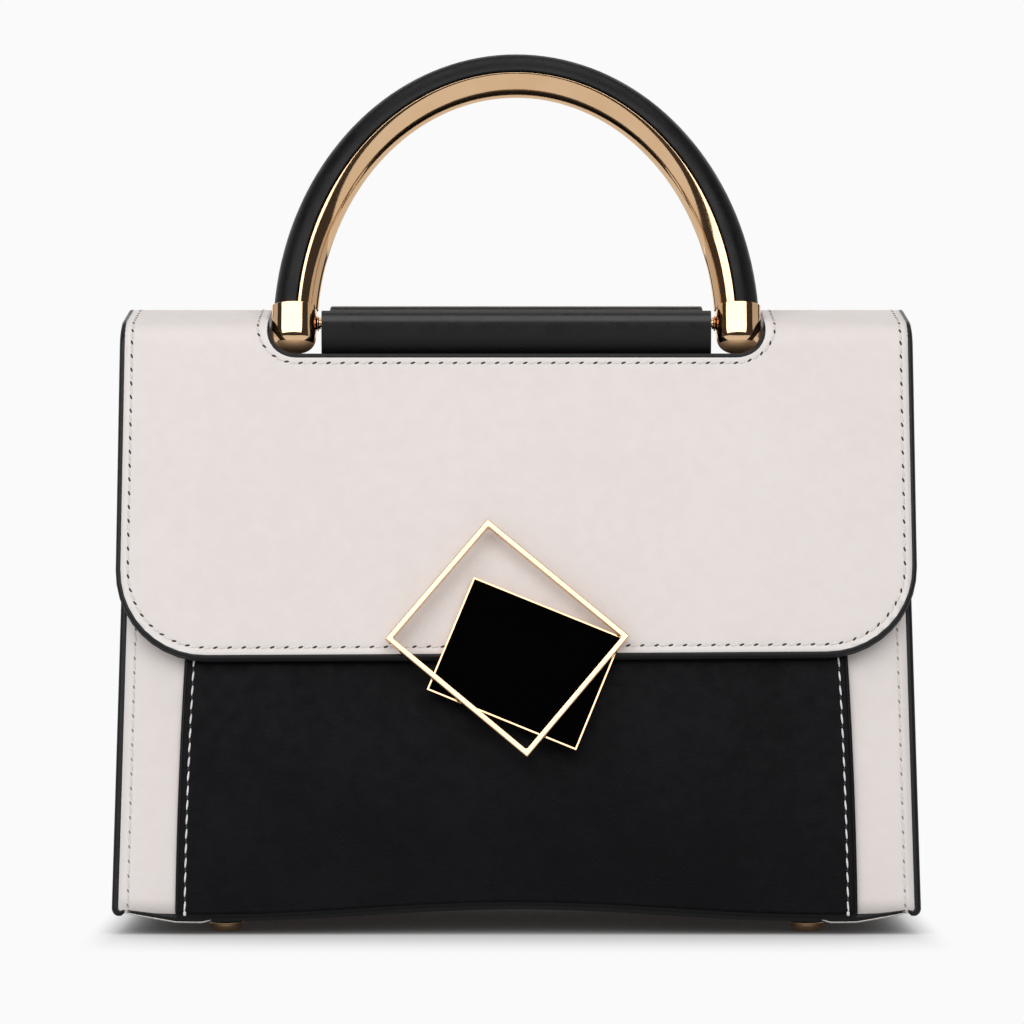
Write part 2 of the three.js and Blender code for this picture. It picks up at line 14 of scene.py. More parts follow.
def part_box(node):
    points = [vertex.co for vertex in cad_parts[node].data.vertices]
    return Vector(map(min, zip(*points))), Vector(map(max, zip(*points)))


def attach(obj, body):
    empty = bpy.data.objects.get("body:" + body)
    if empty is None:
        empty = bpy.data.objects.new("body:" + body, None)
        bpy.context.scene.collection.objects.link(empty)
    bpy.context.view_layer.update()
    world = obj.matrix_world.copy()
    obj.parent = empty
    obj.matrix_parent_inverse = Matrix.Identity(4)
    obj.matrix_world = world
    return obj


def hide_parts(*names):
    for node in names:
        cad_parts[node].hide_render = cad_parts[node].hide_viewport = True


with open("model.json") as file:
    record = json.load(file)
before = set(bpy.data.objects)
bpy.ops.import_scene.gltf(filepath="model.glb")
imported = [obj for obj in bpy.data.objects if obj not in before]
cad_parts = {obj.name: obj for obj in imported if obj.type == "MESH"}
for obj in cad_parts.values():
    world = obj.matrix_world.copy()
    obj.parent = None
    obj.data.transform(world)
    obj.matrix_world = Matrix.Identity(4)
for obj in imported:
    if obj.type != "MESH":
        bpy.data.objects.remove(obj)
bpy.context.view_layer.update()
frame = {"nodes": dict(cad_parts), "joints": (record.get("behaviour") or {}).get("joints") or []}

MM = 0.001


def box_middle(node):
    low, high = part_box(node)
    return (low + high) / 2 / MM


# Body, as the solids have it
BASE_Y = box_middle("bottom_panel").y
BAG_DEPTH = 92
BASE_HALF_WIDTH = 110.7
TOP_HALF_WIDTH = 108.8
FRONT_LEAN = math.radians(10.2)
BACK_LEAN = math.radians(10.7)
PANEL_BOTTOM = 4.8
FRONT_TOP = 150
BACK_TOP = 155
CROWN = 2.5
CROWN_SPAN = FRONT_TOP - PANEL_BOTTOM
WALL = 2
PANEL_CORNER = 2.4
SAG_HALF_SPAN = 85
SAG_RISE = 3.4
CORNER_LIFT = 1

# Black overlay on the front
CENTER_WALL = 1.4
CENTER_GAP = 0.3
CENTER_TOP = 146
CENTER_HALF_WIDTH = 93.2
CENTER_NARROWING = 0.00035
CENTER_FOOT = 0.1
CENTER_CORNER = 1.5

# Side walls
SEAM = 5.5
FLANGE_SETBACK = 0.6
GUSSET_WALL = 1.6
GUSSET_GAP = 0.3
GUSSET_LOW = 5.9
GUSSET_TOP = 148
GUSSET_FOLD = 9
GUSSET_BEND = 0.8
FLANGE_SHARE = 0.8
FLANGE_PAINT_END = 0.5

# Bottom and feet
BOTTOM_WALL = 1.4
BOTTOM_PLATE = 0.6
BOTTOM_SETBACK = 6
PLATE_SETBACK = 4.6
PLATE_LIFT = 1
BOARD_HALF_LENGTH = 88
BOTTOM_UNDERSIDE = 3.1
BOTTOM_HALF_LENGTH = 110.3
BOTTOM_HALF_DEPTH = 45.6
BOTTOM_CORNER = 4
PLATE_LEVEL_END = 6
FOOT_RADIUS = 4.8
FOOT_PAD_RADIUS = 2.6
FOOT_HEIGHT = 2.8
FOOT_STEP = 0.3
FOOT_ROUND = 0.35

# Flap: its outer surface is a run of straights and bends from the front edge over to the back
FLAP_WALL = 2.6
FLAP_HALF_WIDTH = 110.8
FLAP_EDGE_Y = -38.36
FLAP_EDGE_Z = 75.2
FLAP_LEAN = math.radians(11.3)
FLAP_CORNER = 25.5
FLAP_BACK_CORNER = 8
FRONT_DROP = 88.5
SHOULDER_RADIUS = 9
SHOULDER_TURN = math.radians(66.7)
ROOF = 18.8
RIDGE_RADIUS = 13
RIDGE_TURN = math.pi - FLAP_LEAN - SHOULDER_TURN - BACK_LEAN
BACK_DROP = 32.6
FLAP_RUN = [
    (FRONT_DROP, 0),
    (SHOULDER_RADIUS * SHOULDER_TURN, SHOULDER_RADIUS),
    (ROOF, 0),
    (RIDGE_RADIUS * RIDGE_TURN, RIDGE_RADIUS),
    (BACK_DROP, 0),
]
FLAP_LENGTH = sum(length for length, radius in FLAP_RUN)
RIDGE_START = FLAP_LENGTH - BACK_DROP - RIDGE_RADIUS * RIDGE_TURN
WINDOW_SILL = 160.1
WINDOW_HALF_WIDTH = 69.2
WINDOW_CORNER = 8
FLAP_SKEW = 0.006

# The grids that the flat patterns are cut from, a gusset's in shares of its half width across
FLAP_CELL = Vector((2.6, 1.5))
WALL_CELL = Vector((4, 4))
GUSSET_CELL = Vector((0.05, 4))
BOTTOM_CELL = Vector((4, 6))
WINDOW_SCORE = 6
FAR_FROM_STITCHES = 20
SHORTEST_SIDE = 0.001
SAME_POINT = 0.0001
SEAM_MERGE = 0.001

# Painted edges: how far the paint reaches in from the edge, and how far it stands over the faces
PAINT_REACH = 1.15
PAINT_PROUD = 0.12
PAINT_STEP = 2
PAINT_BLUNT = 0.6
THIN_PAINT_REACH = 0.8
PAINT_SIDES = 14
LAYER_STEP = 0.28
WINDOW_SIDE_FULLNESS = 0.32
WALL_PAINT_REACH = 1.3
TURN_FULLNESS = 0.34
TICK_INSET = 3.6
TICK_GAP = 0.9
TICK_RISE = 1.1
TURN_DROP = 0.8
FOOT_PAINT_REACH = 1.1
FOOT_PAINT_RISE = -0.1
FOOT_FULL = 93
FOOT_FULLNESS = 0.38
SHEET_FOOT = 0.8
PIPING = 0.2
PIPING_END = 86
PIPING_TUCK = 5

# Stitching: the step of a row, and the half width, height and length of its threads and of the dark beads of
# painted shade at its needle holes
FLAP_STITCH = {"pitch": 3.9, "thread": (0.36, 0.2, 1.25), "hole": (0.3, 0.1, 0.74)}
BODY_STITCH = {"pitch": 4.05, "thread": (0.34, 0.2, 1.4), "hole": (0.26, 0.09, 0.6)}
CENTER_STITCH = {"pitch": 3.95, "thread": (0.28, 0.25, 1.5), "hole": (0.3, 0.1, 0.5)}
CENTER_KNOT = (0.45, 0.36, 0.7)
FLAP_STITCH_INSET = 3.6
WINDOW_STITCH_INSET = 3.1
BODY_STITCH_INSET = 4.4
CENTER_STITCH_INSET = 2.7
STITCH_SLANT = math.radians(9)
STITCH_TRACE = 0.6
BODY_ROW_START = 2.5
CENTER_ROW_START = CENTER_FOOT + 1
ROW_END = 4

# Handle: the angles of its section are in degrees from straight outwards
AXIS = Vector(frame["joints"][0]["pos_m"]) / MM
HANDLE_LEAN = math.radians(12)
HALF_SPAN = 62.4
ARCH_HALF_SPAN = 62
ARCH_RISE = 74.6
ARCH_SPRING = -2
ARCH_RADIUS = 6.2
ARCH_KEEL = 1.6
RECESS_RADIUS = 4.2
RECESS_HALF_ANGLE = 96
WRAP_INNER_RADIUS = 4.3
WRAP_OUTER_RADIUS = 6.35
WRAP_HALF_ANGLE = 92.5
FERRULE_RADIUS = 6.4
FERRULE_TOP = 4.9
FERRULE_BALL = -2
FERRULE_FULLNESS = 2.8
SATIN_TOP = -6.2
FERRULE_BLEND = 0.3
ARCH_SINK = 0.8
WRAP_SINK = 0.3
CASTING_SOFT = 0.3
WRAP_SOFT = 0.45
COLLAR_RADIUS = 2.2
COLLAR_LENGTH = 1.1
COLLAR_ROUND = 0.4
COLLAR_NECK = 1.6
COLLAR_SINK = 0.5
COLLAR_GAP = 0.3
ROD_RADIUS = 1.1
ROD_SETBACK = 1.7
HANDLE_PLACE = Matrix.Translation(AXIS) @ Matrix.Rotation(-HANDLE_LEAN, 4, "X")

# Sleeve that carries the rod
SLEEVE_HALF_LENGTH = 54.6
SLEEVE_RADIUS = 4.9
FACING_WALL = 0.9
FACING_LIP = 47
FACING_TUCK = 1.9 * SLEEVE_RADIUS
FACING_SOFT = 0.35
CORE_RADIUS = 4.3
CORE_SOFT = 0.6
CORE_SHIFT = Vector((0, 0.4, 0.6))
CORE_SETBACK = 2.3
SLEEVE_NECK = 3.2
SLEEVE_HANG = 150
SLEEVE_TAIL_END = 126
SLEEVE_TAIL_GAP = 0.45
SLEEVE_TAIL_SWING = 12
SLEEVE_TAIL_BEND = 8
SLEEVE_TAIL_SOFT = 0.4
RUB_START = 161
RUB_FULL = 167

# Clasp
CLASP_X = -2.5
CLASP_Z = 80.3
FRAME_LENGTH = 50.7
FRAME_HEIGHT = 43.6
FRAME_TURN = math.radians(-40)
FRAME_BAR = 1.55
FRAME_BACK = 1.8
FRAME_CORNER = 0.8
FRAME_DEPTH = 2.6
FRAME_SOFT = 0.34
TILE_LENGTH = 44.1
TILE_HEIGHT = 33.8
TILE_TURN = math.radians(-22.3)
TILE_OFFSET = Vector((4.8, -6.8, 0))
TRAY_STANDOFF = 0.3
TRAY_DEPTH = 2.5
TRAY_RIM = 0.54
TRAY_SINK = 0.6
TRAY_SOFT = 0.1
ENAMEL_SINK = 0.22
ENAMEL_DEPTH = 0.9
ENAMEL_SOFT = 0.15
ENAMEL_CELLS = 6

# Edges that bend more than this stay crisp, and those that bend more than the other are softened
CRISP_ANGLE = math.radians(40)
SOFTENED_ANGLE = math.radians(32)


# The shared surfaces


def sag(x):
    """How far the lower edge rises between the low points over the feet."""
    reach = abs(x)
    if reach < SAG_HALF_SPAN:
        return SAG_RISE / 2 * (1 + math.cos(math.pi * reach / SAG_HALF_SPAN))
    return CORNER_LIFT * ((reach - SAG_HALF_SPAN) / (BASE_HALF_WIDTH - SAG_HALF_SPAN)) ** 2


def crown(x, z):
    """How far the filled-out panels stand proud of flat."""
    up = min(max((z - PANEL_BOTTOM) / CROWN_SPAN, 0), 1)
    return CROWN * max(0, 1 - (x / BASE_HALF_WIDTH) ** 2) * math.sin(math.pi * up)


def body_half_width(z):
    return BASE_HALF_WIDTH + (TOP_HALF_WIDTH - BASE_HALF_WIDTH) * (z - PANEL_BOTTOM) / CROWN_SPAN


def center_half_width(z):
    return CENTER_HALF_WIDTH - CENTER_NARROWING * (z - PANEL_BOTTOM) ** 2


def center_face(z):
    return BASE_Y - BAG_DEPTH / 2 + (z - PANEL_BOTTOM) * math.tan(FRONT_LEAN)


def front_face(z):
    return center_face(z) + CENTER_WALL + CENTER_GAP


def back_face(z):
    return BASE_Y + BAG_DEPTH / 2 - (z - PANEL_BOTTOM) * math.tan(BACK_LEAN)


def upright(face, outward, half_width, top):
    """A standing wall's outer surface over its flat pattern: u across the base, v up from the lower edge."""

    def surface(u, v):
        low = PANEL_BOTTOM + sag(u)
        z = low + (top - low) * v / (top - PANEL_BOTTOM)
        x = -outward * u * half_width(z) / half_width(PANEL_BOTTOM)
        return Vector((x, face(z) + outward * crown(x, z), z))

    return surface


front_surface = upright(front_face, -1, body_half_width, FRONT_TOP)
center_surface = upright(center_face, -1, center_half_width, CENTER_TOP)
back_surface = upright(back_face, 1, body_half_width, BACK_TOP)


def flap_station(distance):
    """Height, depth and heading at a distance along the flap's run."""
    y = FLAP_EDGE_Y + BASE_Y
    z = FLAP_EDGE_Z
    heading = FLAP_LEAN
    left = distance
    for length, radius in FLAP_RUN:
        part = min(left, length)
        if radius == 0:
            y += part * math.sin(heading)
            z += part * math.cos(heading)
        else:
            turned = heading + part / radius
            y += radius * (math.cos(heading) - math.cos(turned))
            z += radius * (math.sin(turned) - math.sin(heading))
            heading = turned
        left -= part
    return y, z, heading


def flap_surface(u, v):
    """The flap's outer surface: u across, v along its run. The front edge hangs a touch askew."""
    run = v + FLAP_SKEW * u * max(0, 1 - v / FRONT_DROP)
    inside = min(max(run, 0), FLAP_LENGTH)
    y, z, heading = flap_station(inside)
    swell = crown(u, z) * (-1 if heading < math.pi / 2 else 1)
    spare = run - inside
    return Vector((u, y + swell + spare * math.sin(heading), z + spare * math.cos(heading)))


def gusset_surface(side):
    """A side wall's outer surface: u from -1 to 1 between the flange tips, v up from the low edge."""

    def surface(u, v):
        z = GUSSET_LOW + v
        up = v / (GUSSET_TOP - GUSSET_LOW)
        front = front_face(z) + WALL + GUSSET_GAP + GUSSET_WALL
        back = back_face(z) - WALL - GUSSET_GAP - GUSSET_WALL
        root = body_half_width(z) - SEAM
        share = min(max(u / FLANGE_SHARE, -1), 1)
        across = (1 + side * share) / 2
        fold = GUSSET_FOLD * up * up * math.sin(math.pi * across) ** 2
        flange = max(0, abs(u) - FLANGE_SHARE) / (1 - FLANGE_SHARE) * (SEAM - FLANGE_SETBACK)
        return Vector((side * (root - fold + flange), front + (back - front) * across, z))

    return surface


def bottom_surface(u, v):
    return Vector((-u, BASE_Y + v, BOTTOM_UNDERSIDE + sag(u)))


def normal_at(surface, u, v):
    step = 0.2
    along_u = surface(u + step, v) - surface(u - step, v)
    along_v = surface(u, v + step) - surface(u, v - step)
    return along_u.cross(along_v).normalized()


# Flat patterns


def rounded_outline(low, high, low_corner, high_corner, inset=0, steps=10):
    """A rectangle with rounded corners, counter-clockwise, one radius below and one above."""
    points = []
    corners = [
        (high.x, low.y, -1, 1, low_corner, -90),
        (high.x, high.y, -1, -1, high_corner, 0),
        (low.x, high.y, 1, -1, high_corner, 90),
        (low.x, low.y, 1, 1, low_corner, 180),
    ]
    for x, y, to_x, to_y, corner, start in corners:
        radius = max(corner - inset, 0.01)
        middle = Vector((x + to_x * (inset + radius), y + to_y * (inset + radius)))
        for step in range(steps + 1):
            turn = math.radians(start + 90 * step / steps)
            points.append(middle + radius * Vector((math.cos(turn), math.sin(turn))))
    return points


def closed_pairs(points):
    return zip(points, points[1:] + points[:1])


def sides(outline):
    """An outline's sides as pairs of ends, but for those too short to cut along."""
    return [(start, end) for start, end in closed_pairs(outline) if (end - start).length > SHORTEST_SIDE]


def spread(points, step, closed):
    """The same line with points no further apart than step."""
    pairs = list(closed_pairs(points)) if closed else list(zip(points, points[1:]))
    line = []
    for start, end in pairs:
        count = max(1, math.ceil((end - start).length / step))
        line += [start.lerp(end, i / count) for i in range(count)]
    return line if closed else line + [points[-1]]


def everything(bm):
    return bm.verts[:] + bm.edges[:] + bm.faces[:]


def cut_sheet(outline, cell):
    """A flat sheet in a fine grid, cut to a convex outline."""
    low = Vector((min(p.x for p in outline), min(p.y for p in outline)))
    high = Vector((max(p.x for p in outline), max(p.y for p in outline)))
    size = high - low
    place = Matrix.Translation(((low + high) / 2).to_3d()) @ Matrix.Diagonal((size.x, size.y, 1, 1))
    bm = bmesh.new()
    bmesh.ops.create_grid(
        bm,
        x_segments=math.ceil(size.x / cell.x),
        y_segments=math.ceil(size.y / cell.y),
        size=0.5,
        matrix=place,
    )
    for start, end in sides(outline):
        along = end - start
        bmesh.ops.bisect_plane(
            bm,
            geom=everything(bm),
            dist=SAME_POINT,
            plane_co=start.to_3d(),
            plane_no=Vector((along.y, -along.x, 0)).normalized(),
            clear_outer=True,
        )
    return bm


def cut_window(bm, outline, reach):
    """Cuts a convex hole: each side is scored across the faces near it, then the middle drops out."""
    for start, end in sides(outline):
        along = end - start
        inward = Vector((-along.y, along.x, 0)).normalized()
        middle = ((start + end) / 2).to_3d()
        span = along.length / 2 + reach
        near = [f for f in bm.faces if (f.calc_center_median() - middle).length < span]
        geom = list({e for f in near for e in [*f.verts, *f.edges, f]})
        bmesh.ops.bisect_plane(bm, geom=geom, dist=SAME_POINT, plane_co=start.to_3d(), plane_no=inward)

    def in_hole(point):
        return all((end - start).cross(point - start) > 0 for start, end in sides(outline))

    dropped = [f for f in bm.faces if in_hole(f.calc_center_median().to_2d())]
    bmesh.ops.delete(bm, geom=dropped, context="FACES")


def form(bm, surface, edge_depth):
    """Bends a flat sheet to its surface, and keeps how deep each point lies in from the stitched edge."""
    depth = bm.verts.layers.float.new("edge_depth")
    for vert in bm.verts:
        u, v = vert.co.xy
        vert[depth] = edge_depth(u, v)
        vert.co = surface(u, v)
    bm.normal_update()


def rounded_depth(u, v, low, high, low_corner, high_corner):
    """How deep a point lies inside a rounded rectangle."""
    middle = (low + high) / 2
    half = (high - low) / 2
    corner = low_corner if v < middle.y else high_corner
    across = abs(u - middle.x) - half.x + corner
    along = abs(v - middle.y) - half.y + corner
    outside = math.hypot(max(across, 0), max(along, 0))
    return corner - outside - min(max(across, along), 0)


# Sweeps along edges


def axes(origin, x_axis, y_axis, z_axis):
    turn = Matrix((x_axis, y_axis, z_axis)).transposed().to_4x4()
    return Matrix.Translation(origin) @ turn


def line_axes(surface, line, lift, closed):
    """Axes along a line drawn on a surface: x across the line, y out of the surface, z along the line."""
    points = [surface(*p) for p in line]
    last = len(line) - 1
    placed = []
    for i, (u, v) in enumerate(line):
        before = points[i - 1] if closed or i > 0 else points[0]
        after = points[(i + 1) % len(points)] if closed or i < last else points[last]
        along = (after - before).normalized()
        normal = normal_at(surface, u, v)
        across = normal.cross(along).normalized()
        placed.append(axes(points[i] + normal * lift, across, along.cross(across), along))
    return placed


def sweep(bm, ring, stations, closed=False):
    """Extrudes a ring of edges, standing at the first station, through the stations that follow."""
    first = ring
    edges = ring
    follow = stations[1:] + stations[:1] if closed else stations[1:]
    for here, there in zip(stations, follow):
        made = bmesh.ops.extrude_edge_only(bm, edges=edges)["geom"]
        edges = [e for e in made if isinstance(e, bmesh.types.BMEdge)]
        moved = [v for v in made if isinstance(v, bmesh.types.BMVert)]
        bmesh.ops.transform(bm, matrix=there @ here.inverted(), verts=moved)
    if closed:
        meeting = {v for e in first + edges for v in e.verts}
        bmesh.ops.remove_doubles(bm, verts=list(meeting), dist=SEAM_MERGE)
    else:
        bmesh.ops.edgenet_fill(bm, edges=first)
        bmesh.ops.edgenet_fill(bm, edges=edges)
    bmesh.ops.recalc_face_normals(bm, faces=bm.faces)


def oval_ring(bm, station, half_across, half_out, sides):
    shape = Matrix.Diagonal((half_across, half_out, 1, 1))
    verts = bmesh.ops.create_circle(bm, segments=sides, radius=1, matrix=station @ shape)["verts"]
    return list({e for v in verts for e in v.link_edges})


def smooth(share):
    held = min(max(share, 0), 1)
    return held * held * (3 - 2 * held)


def paint_edge(surface, line, top, bottom, reach, closed, fullness=None):
    """A bead of edge paint over a layer that lies between two depths, one reach inside the layer's edge.

    Where its fullness is under 1 the bead is that much narrower.
    """
    fine = spread(line, PAINT_STEP, closed)
    stations = line_axes(surface, fine, -(top + bottom) / 2, closed)
    if fullness:
        stations = [m @ Matrix.Diagonal((fullness(u, v), 1, 1, 1)) for m, (u, v) in zip(stations, fine)]
    if not closed:
        blunt = Matrix.Diagonal((PAINT_BLUNT, PAINT_BLUNT, 1, 1))
        tip = Matrix.Translation((0, 0, reach / 2))
        stations = [
            stations[0] @ tip.inverted() @ blunt,
            *stations,
            stations[-1] @ tip @ blunt,
        ]
    bm = bmesh.new()
    ring = oval_ring(bm, stations[0], reach, (bottom - top) / 2 + PAINT_PROUD, PAINT_SIDES)
    sweep(bm, ring, stations, closed)
    return bm


# Stitches


def stitch_stations(surface, line, pitch, closed):
    """Axes at even steps along a line: one list in the middle of the stitches, one at their needle holes."""
    fine = spread(line, STITCH_TRACE, closed)
    placed = line_axes(surface, fine, 0, closed)
    spots = [m.translation for m in placed]
    if closed:
        placed.append(placed[0])
        spots.append(spots[0])
    reached = [0]
    for a, b in zip(spots, spots[1:]):
        reached.append(reached[-1] + (b - a).length)
    count = round(reached[-1] / pitch)
    middles, holes = [], []
    at = 0
    for half_step in range(2 * count + 1):
        goal = reached[-1] * half_step / (2 * count)
        while at < len(reached) - 2 and reached[at + 1] < goal:
            at += 1
        share = (goal - reached[at]) / max(reached[at + 1] - reached[at], SAME_POINT)
        station = placed[at].copy()
        station.translation = spots[at].lerp(spots[at + 1], share)
        (middles if half_step % 2 else holes).append(station)
    return middles, holes[:-1] if closed else holes


def stamp(bm, shape, place):
    """Adds a copy of a shape at a place."""
    copy = bpy.data.meshes.new("copy")
    shape.to_mesh(copy)
    copy.transform(place)
    bm.from_mesh(copy)
    bpy.data.meshes.remove(copy)


def add_beads(bm, stations, half_size, slant):
    """Small oval beads, long ways along the line: threads, or painted shade at their needle holes."""
    turn = Matrix.Rotation(slant, 4, "Y")
    size = Matrix.Diagonal((*half_size, 1))
    bead = bmesh.new()
    bmesh.ops.create_uvsphere(bead, u_segments=8, v_segments=5, radius=1, matrix=turn @ size)
    for station in stations:
        stamp(bm, bead, station)
    bead.free()


def sew(surface, rows, stitch, closed, knot=None):
    """The threads, and dark beads of painted shade at the needle holes, of rows of stitches, each row a line
    and the slant of its threads.

    The holes lie twice as slanted. A knot, where there is one, sits on the first hole of a row.
    """
    threads = bmesh.new()
    hole_shades = bmesh.new()
    for line, slant in rows:
        middles, holes = stitch_stations(surface, line, stitch["pitch"], closed)
        add_beads(threads, middles, stitch["thread"], slant)
        # Dark beads of painted shade stand in for the shadow in each needle hole.
        add_beads(hole_shades, holes, stitch["hole"], 2 * slant)
        if knot:
            add_beads(threads, holes[:1], knot, 0)
    return threads, hole_shades


# Finishing a piece


def finish_piece(name, bm, body, finishes, replaced=(), crisp=False):
    bmesh.ops.scale(bm, vec=(MM, MM, MM), verts=bm.verts)
    mesh = bpy.data.meshes.new(name)
    bm.to_mesh(mesh)
    bm.free()
    mesh.shade_smooth()
    if crisp:
        mesh.set_sharp_from_angle(angle=CRISP_ANGLE)
    for finish in finishes:
        mesh.materials.append(finish)
    piece = bpy.data.objects.new(name, mesh)
    bpy.context.scene.collection.objects.link(piece)
    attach(piece, body)
    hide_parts(*replaced)
    return piece


def give_wall(piece, wall, inner_finish=0):
    solid = piece.modifiers.new("wall", "SOLIDIFY")
    solid.thickness = wall * MM
    solid.offset = -1
    solid.use_even_offset = False
    solid.material_offset = inner_finish


def soften_edges(piece, width):
    bevel = piece.modifiers.new("softened", "BEVEL")
    bevel.width = width * MM
    bevel.segments = 3
    bevel.limit_method = "ANGLE"
    bevel.angle_limit = SOFTENED_ANGLE
    bevel.profile = 0.5
    bevel.harden_normals = True


def round_edges(bm, edges, radius):
    bmesh.ops.bevel(
        bm,
        geom=edges,
        offset=radius,
        offset_type="OFFSET",
        affect="EDGES",
        segments=4,
        profile=0.5,
        material=-1,
    )


def paint_piece(name, surface, line, top, bottom, reach, closed, fullness=None):
    bead = paint_edge(surface, line, top, bottom, reach, closed, fullness)
    finish_piece(name, bead, "bag", [paint])


# Shader nodes


class Value:
    """A socket that carries a number, so that maths on it reads as maths."""

    def __init__(self, socket):
        self.socket = socket

    def maths(self, operation, *numbers):
        tree = self.socket.id_data
        made = tree.nodes.new("ShaderNodeMath")
        made.operation = operation
        for plug, number in zip(made.inputs, numbers):
            if isinstance(number, Value):
                tree.links.new(number.socket, plug)
            else:
                plug.default_value = number
        return Value(made.outputs[0])

    def __add__(self, other):
        return self.maths("ADD", self, other)

    def __radd__(self, other):
        return self.maths("ADD", other, self)

    def __sub__(self, other):
        return self.maths("SUBTRACT", self, other)

    def __rsub__(self, other):
        return self.maths("SUBTRACT", other, self)

    def __mul__(self, other):
        return self.maths("MULTIPLY", self, other)

    def __truediv__(self, other):
        return self.maths("DIVIDE", self, other)

    def __rtruediv__(self, other):
        return self.maths("DIVIDE", other, self)


def add_node(tree, kind, settings, inputs, output=0):
    """Adds a node: its settings first, then the values or links of its sockets."""
    made = tree.nodes.new(kind)
    for setting, choice in settings.items():
        setattr(made, setting, choice)
    for socket, number in inputs.items():
        if isinstance(number, Value):
            tree.links.new(number.socket, made.inputs[socket])
        else:
            made.inputs[socket].default_value = number
    return Value(made.outputs[output])


class Finish:
    """A procedural material on one principled shader."""

    def __init__(self, name, **constants):
        self.material = bpy.data.materials.new(name)
        self.material.use_nodes = True
        self.tree = self.material.node_tree
        self.shader = self.tree.nodes["Principled BSDF"]
        for socket, number in constants.items():
            self.shader.inputs[socket.replace("_", " ")].default_value = number

    def node(self, kind, settings, inputs, output=0):
        return add_node(self.tree, kind, settings, inputs, output)

    def place(self):
        return self.node("ShaderNodeTexCoord", {}, {}, "Object")

    def noise(self, scale, detail=2, roughness=0.5, distortion=0, place=None):
        where = place or self.place()
        sockets = {
            "Vector": where,
            "Scale": scale,
            "Detail": detail,
            "Roughness": roughness,
            "Distortion": distortion,
        }
        return self.node("ShaderNodeTexNoise", {}, sockets)

    def pores(self, scale):
        sockets = {"Vector": self.place(), "Scale": scale, "Smoothness": 0.6}
        return self.node("ShaderNodeTexVoronoi", {"feature": "SMOOTH_F1"}, sockets)

    def stretched(self, across, along, up):
        sockets = {"Vector": self.place(), "Scale": (across, along, up)}
        return self.node("ShaderNodeMapping", {"vector_type": "TEXTURE"}, sockets)

    def edge_depth(self):
        return self.node("ShaderNodeAttribute", {"attribute_name": "edge_depth"}, {}, "Fac")

    def step(self, number, start, end, low=0, high=1):
        sockets = {"Value": number, "From Min": start, "From Max": end, "To Min": low, "To Max": high}
        return self.node("ShaderNodeMapRange", {"interpolation_type": "SMOOTHSTEP"}, sockets)

    def blend(self, share, first, second):
        sockets = {"Factor": share}
        for plug, colour in ((6, first), (7, second)):
            sockets[plug] = (*colour, 1) if isinstance(colour, tuple) else colour
        return self.node("ShaderNodeMix", {"data_type": "RGBA"}, sockets, 2)

    def bump(self, height, distance):
        return self.node("ShaderNodeBump", {}, {"Height": height, "Distance": distance * MM, "Strength": 1})

    def feed(self, **links):
        for socket, number in links.items():
            self.tree.links.new(number.socket, self.shader.inputs[socket.replace("_", " ")])
        return self.material


def leather(name, colour, shade, highlight_colour, roughness, stitch_inset, shine):
    """Smooth dyed leather: fine pores, faint creases, uneven dye, a pressed line under the stitches, and a
    painted highlight by the stitched edge.
    """
    finish = Finish(name, Specular_IOR_Level=shine)
    cloudy = finish.noise(26, 3)
    mottle = finish.noise(260, 3)
    pores = finish.pores(1500)
    creases = finish.noise(90, 5, 0.6, 0.7, finish.stretched(1.6, 1, 0.8))
    depth = finish.edge_depth()
    from_line = (depth - stitch_inset) / 0.7
    pressed = 1 / (1 + from_line * from_line)
    dye = cloudy * 0.5 + mottle * 0.5
    toned = finish.blend(finish.step(dye, 0.35, 0.65), colour, shade)
    # Painted highlight: the colour is lighter for the first few millimetres in from the stitched edge.
    edge_highlight_mask = finish.step(depth, 1.2, 4.5, 0.55, 0)
    highlighted_colour = finish.blend(edge_highlight_mask, toned, highlight_colour)
    height = pores * 0.35 + creases * 0.4 - pressed * 1.6
    return finish.feed(
        Base_Color=highlighted_colour,
        Roughness=finish.step(mottle + creases * 0.4, 0.45, 0.95, roughness - 0.06, roughness + 0.08),
        Normal=finish.bump(height, 0.09),
    )


CREAM = (0.79, 0.735, 0.715)
CREAM_SHADE = (0.77, 0.712, 0.69)
CREAM_HIGHLIGHT = (0.86, 0.83, 0.81)
BLACK = (0.0062, 0.006, 0.0074)
BLACK_SHADE = (0.0034, 0.0033, 0.0043)
BLACK_HIGHLIGHT = (0.0075, 0.0072, 0.0088)
cream_leather = leather("cream_leather", CREAM, CREAM_SHADE, CREAM_HIGHLIGHT, 0.5, FLAP_STITCH_INSET, 0.3)
body_leather = leather("cream_body_leather", CREAM, CREAM_SHADE, CREAM_HIGHLIGHT, 0.5, BODY_STITCH_INSET, 0.3)
black_leather = leather("black_leather", BLACK, BLACK_SHADE, BLACK_HIGHLIGHT, 0.38, CENTER_STITCH_INSET, 0.065)


def plain_leather(name, colour, shade, roughness, shine, rub=0):
    """Leather with no stitched edge of its own. The sleeve's is rubbed shiny along the top."""
    finish = Finish(name, Specular_IOR_Level=shine, Coat_Roughness=roughness)
    cloudy = finish.noise(60, 3)
    pores = finish.pores(1700)
    creases = finish.noise(150, 4, 0.6, 0.5)
    if rub:
        height = finish.node("ShaderNodeSeparateXYZ", {}, {"Vector": finish.place()}, "Z")
        finish.feed(Coat_Weight=finish.step(height, RUB_START * MM, RUB_FULL * MM, 0, rub))
    return finish.feed(
        Base_Color=finish.blend(finish.step(cloudy, 0.35, 0.65), colour, shade),
        Roughness=finish.step(creases, 0.3, 0.7, roughness - 0.06, roughness + 0.08),
        Normal=finish.bump(pores * 0.5 + creases * 0.5, 0.07),
    )


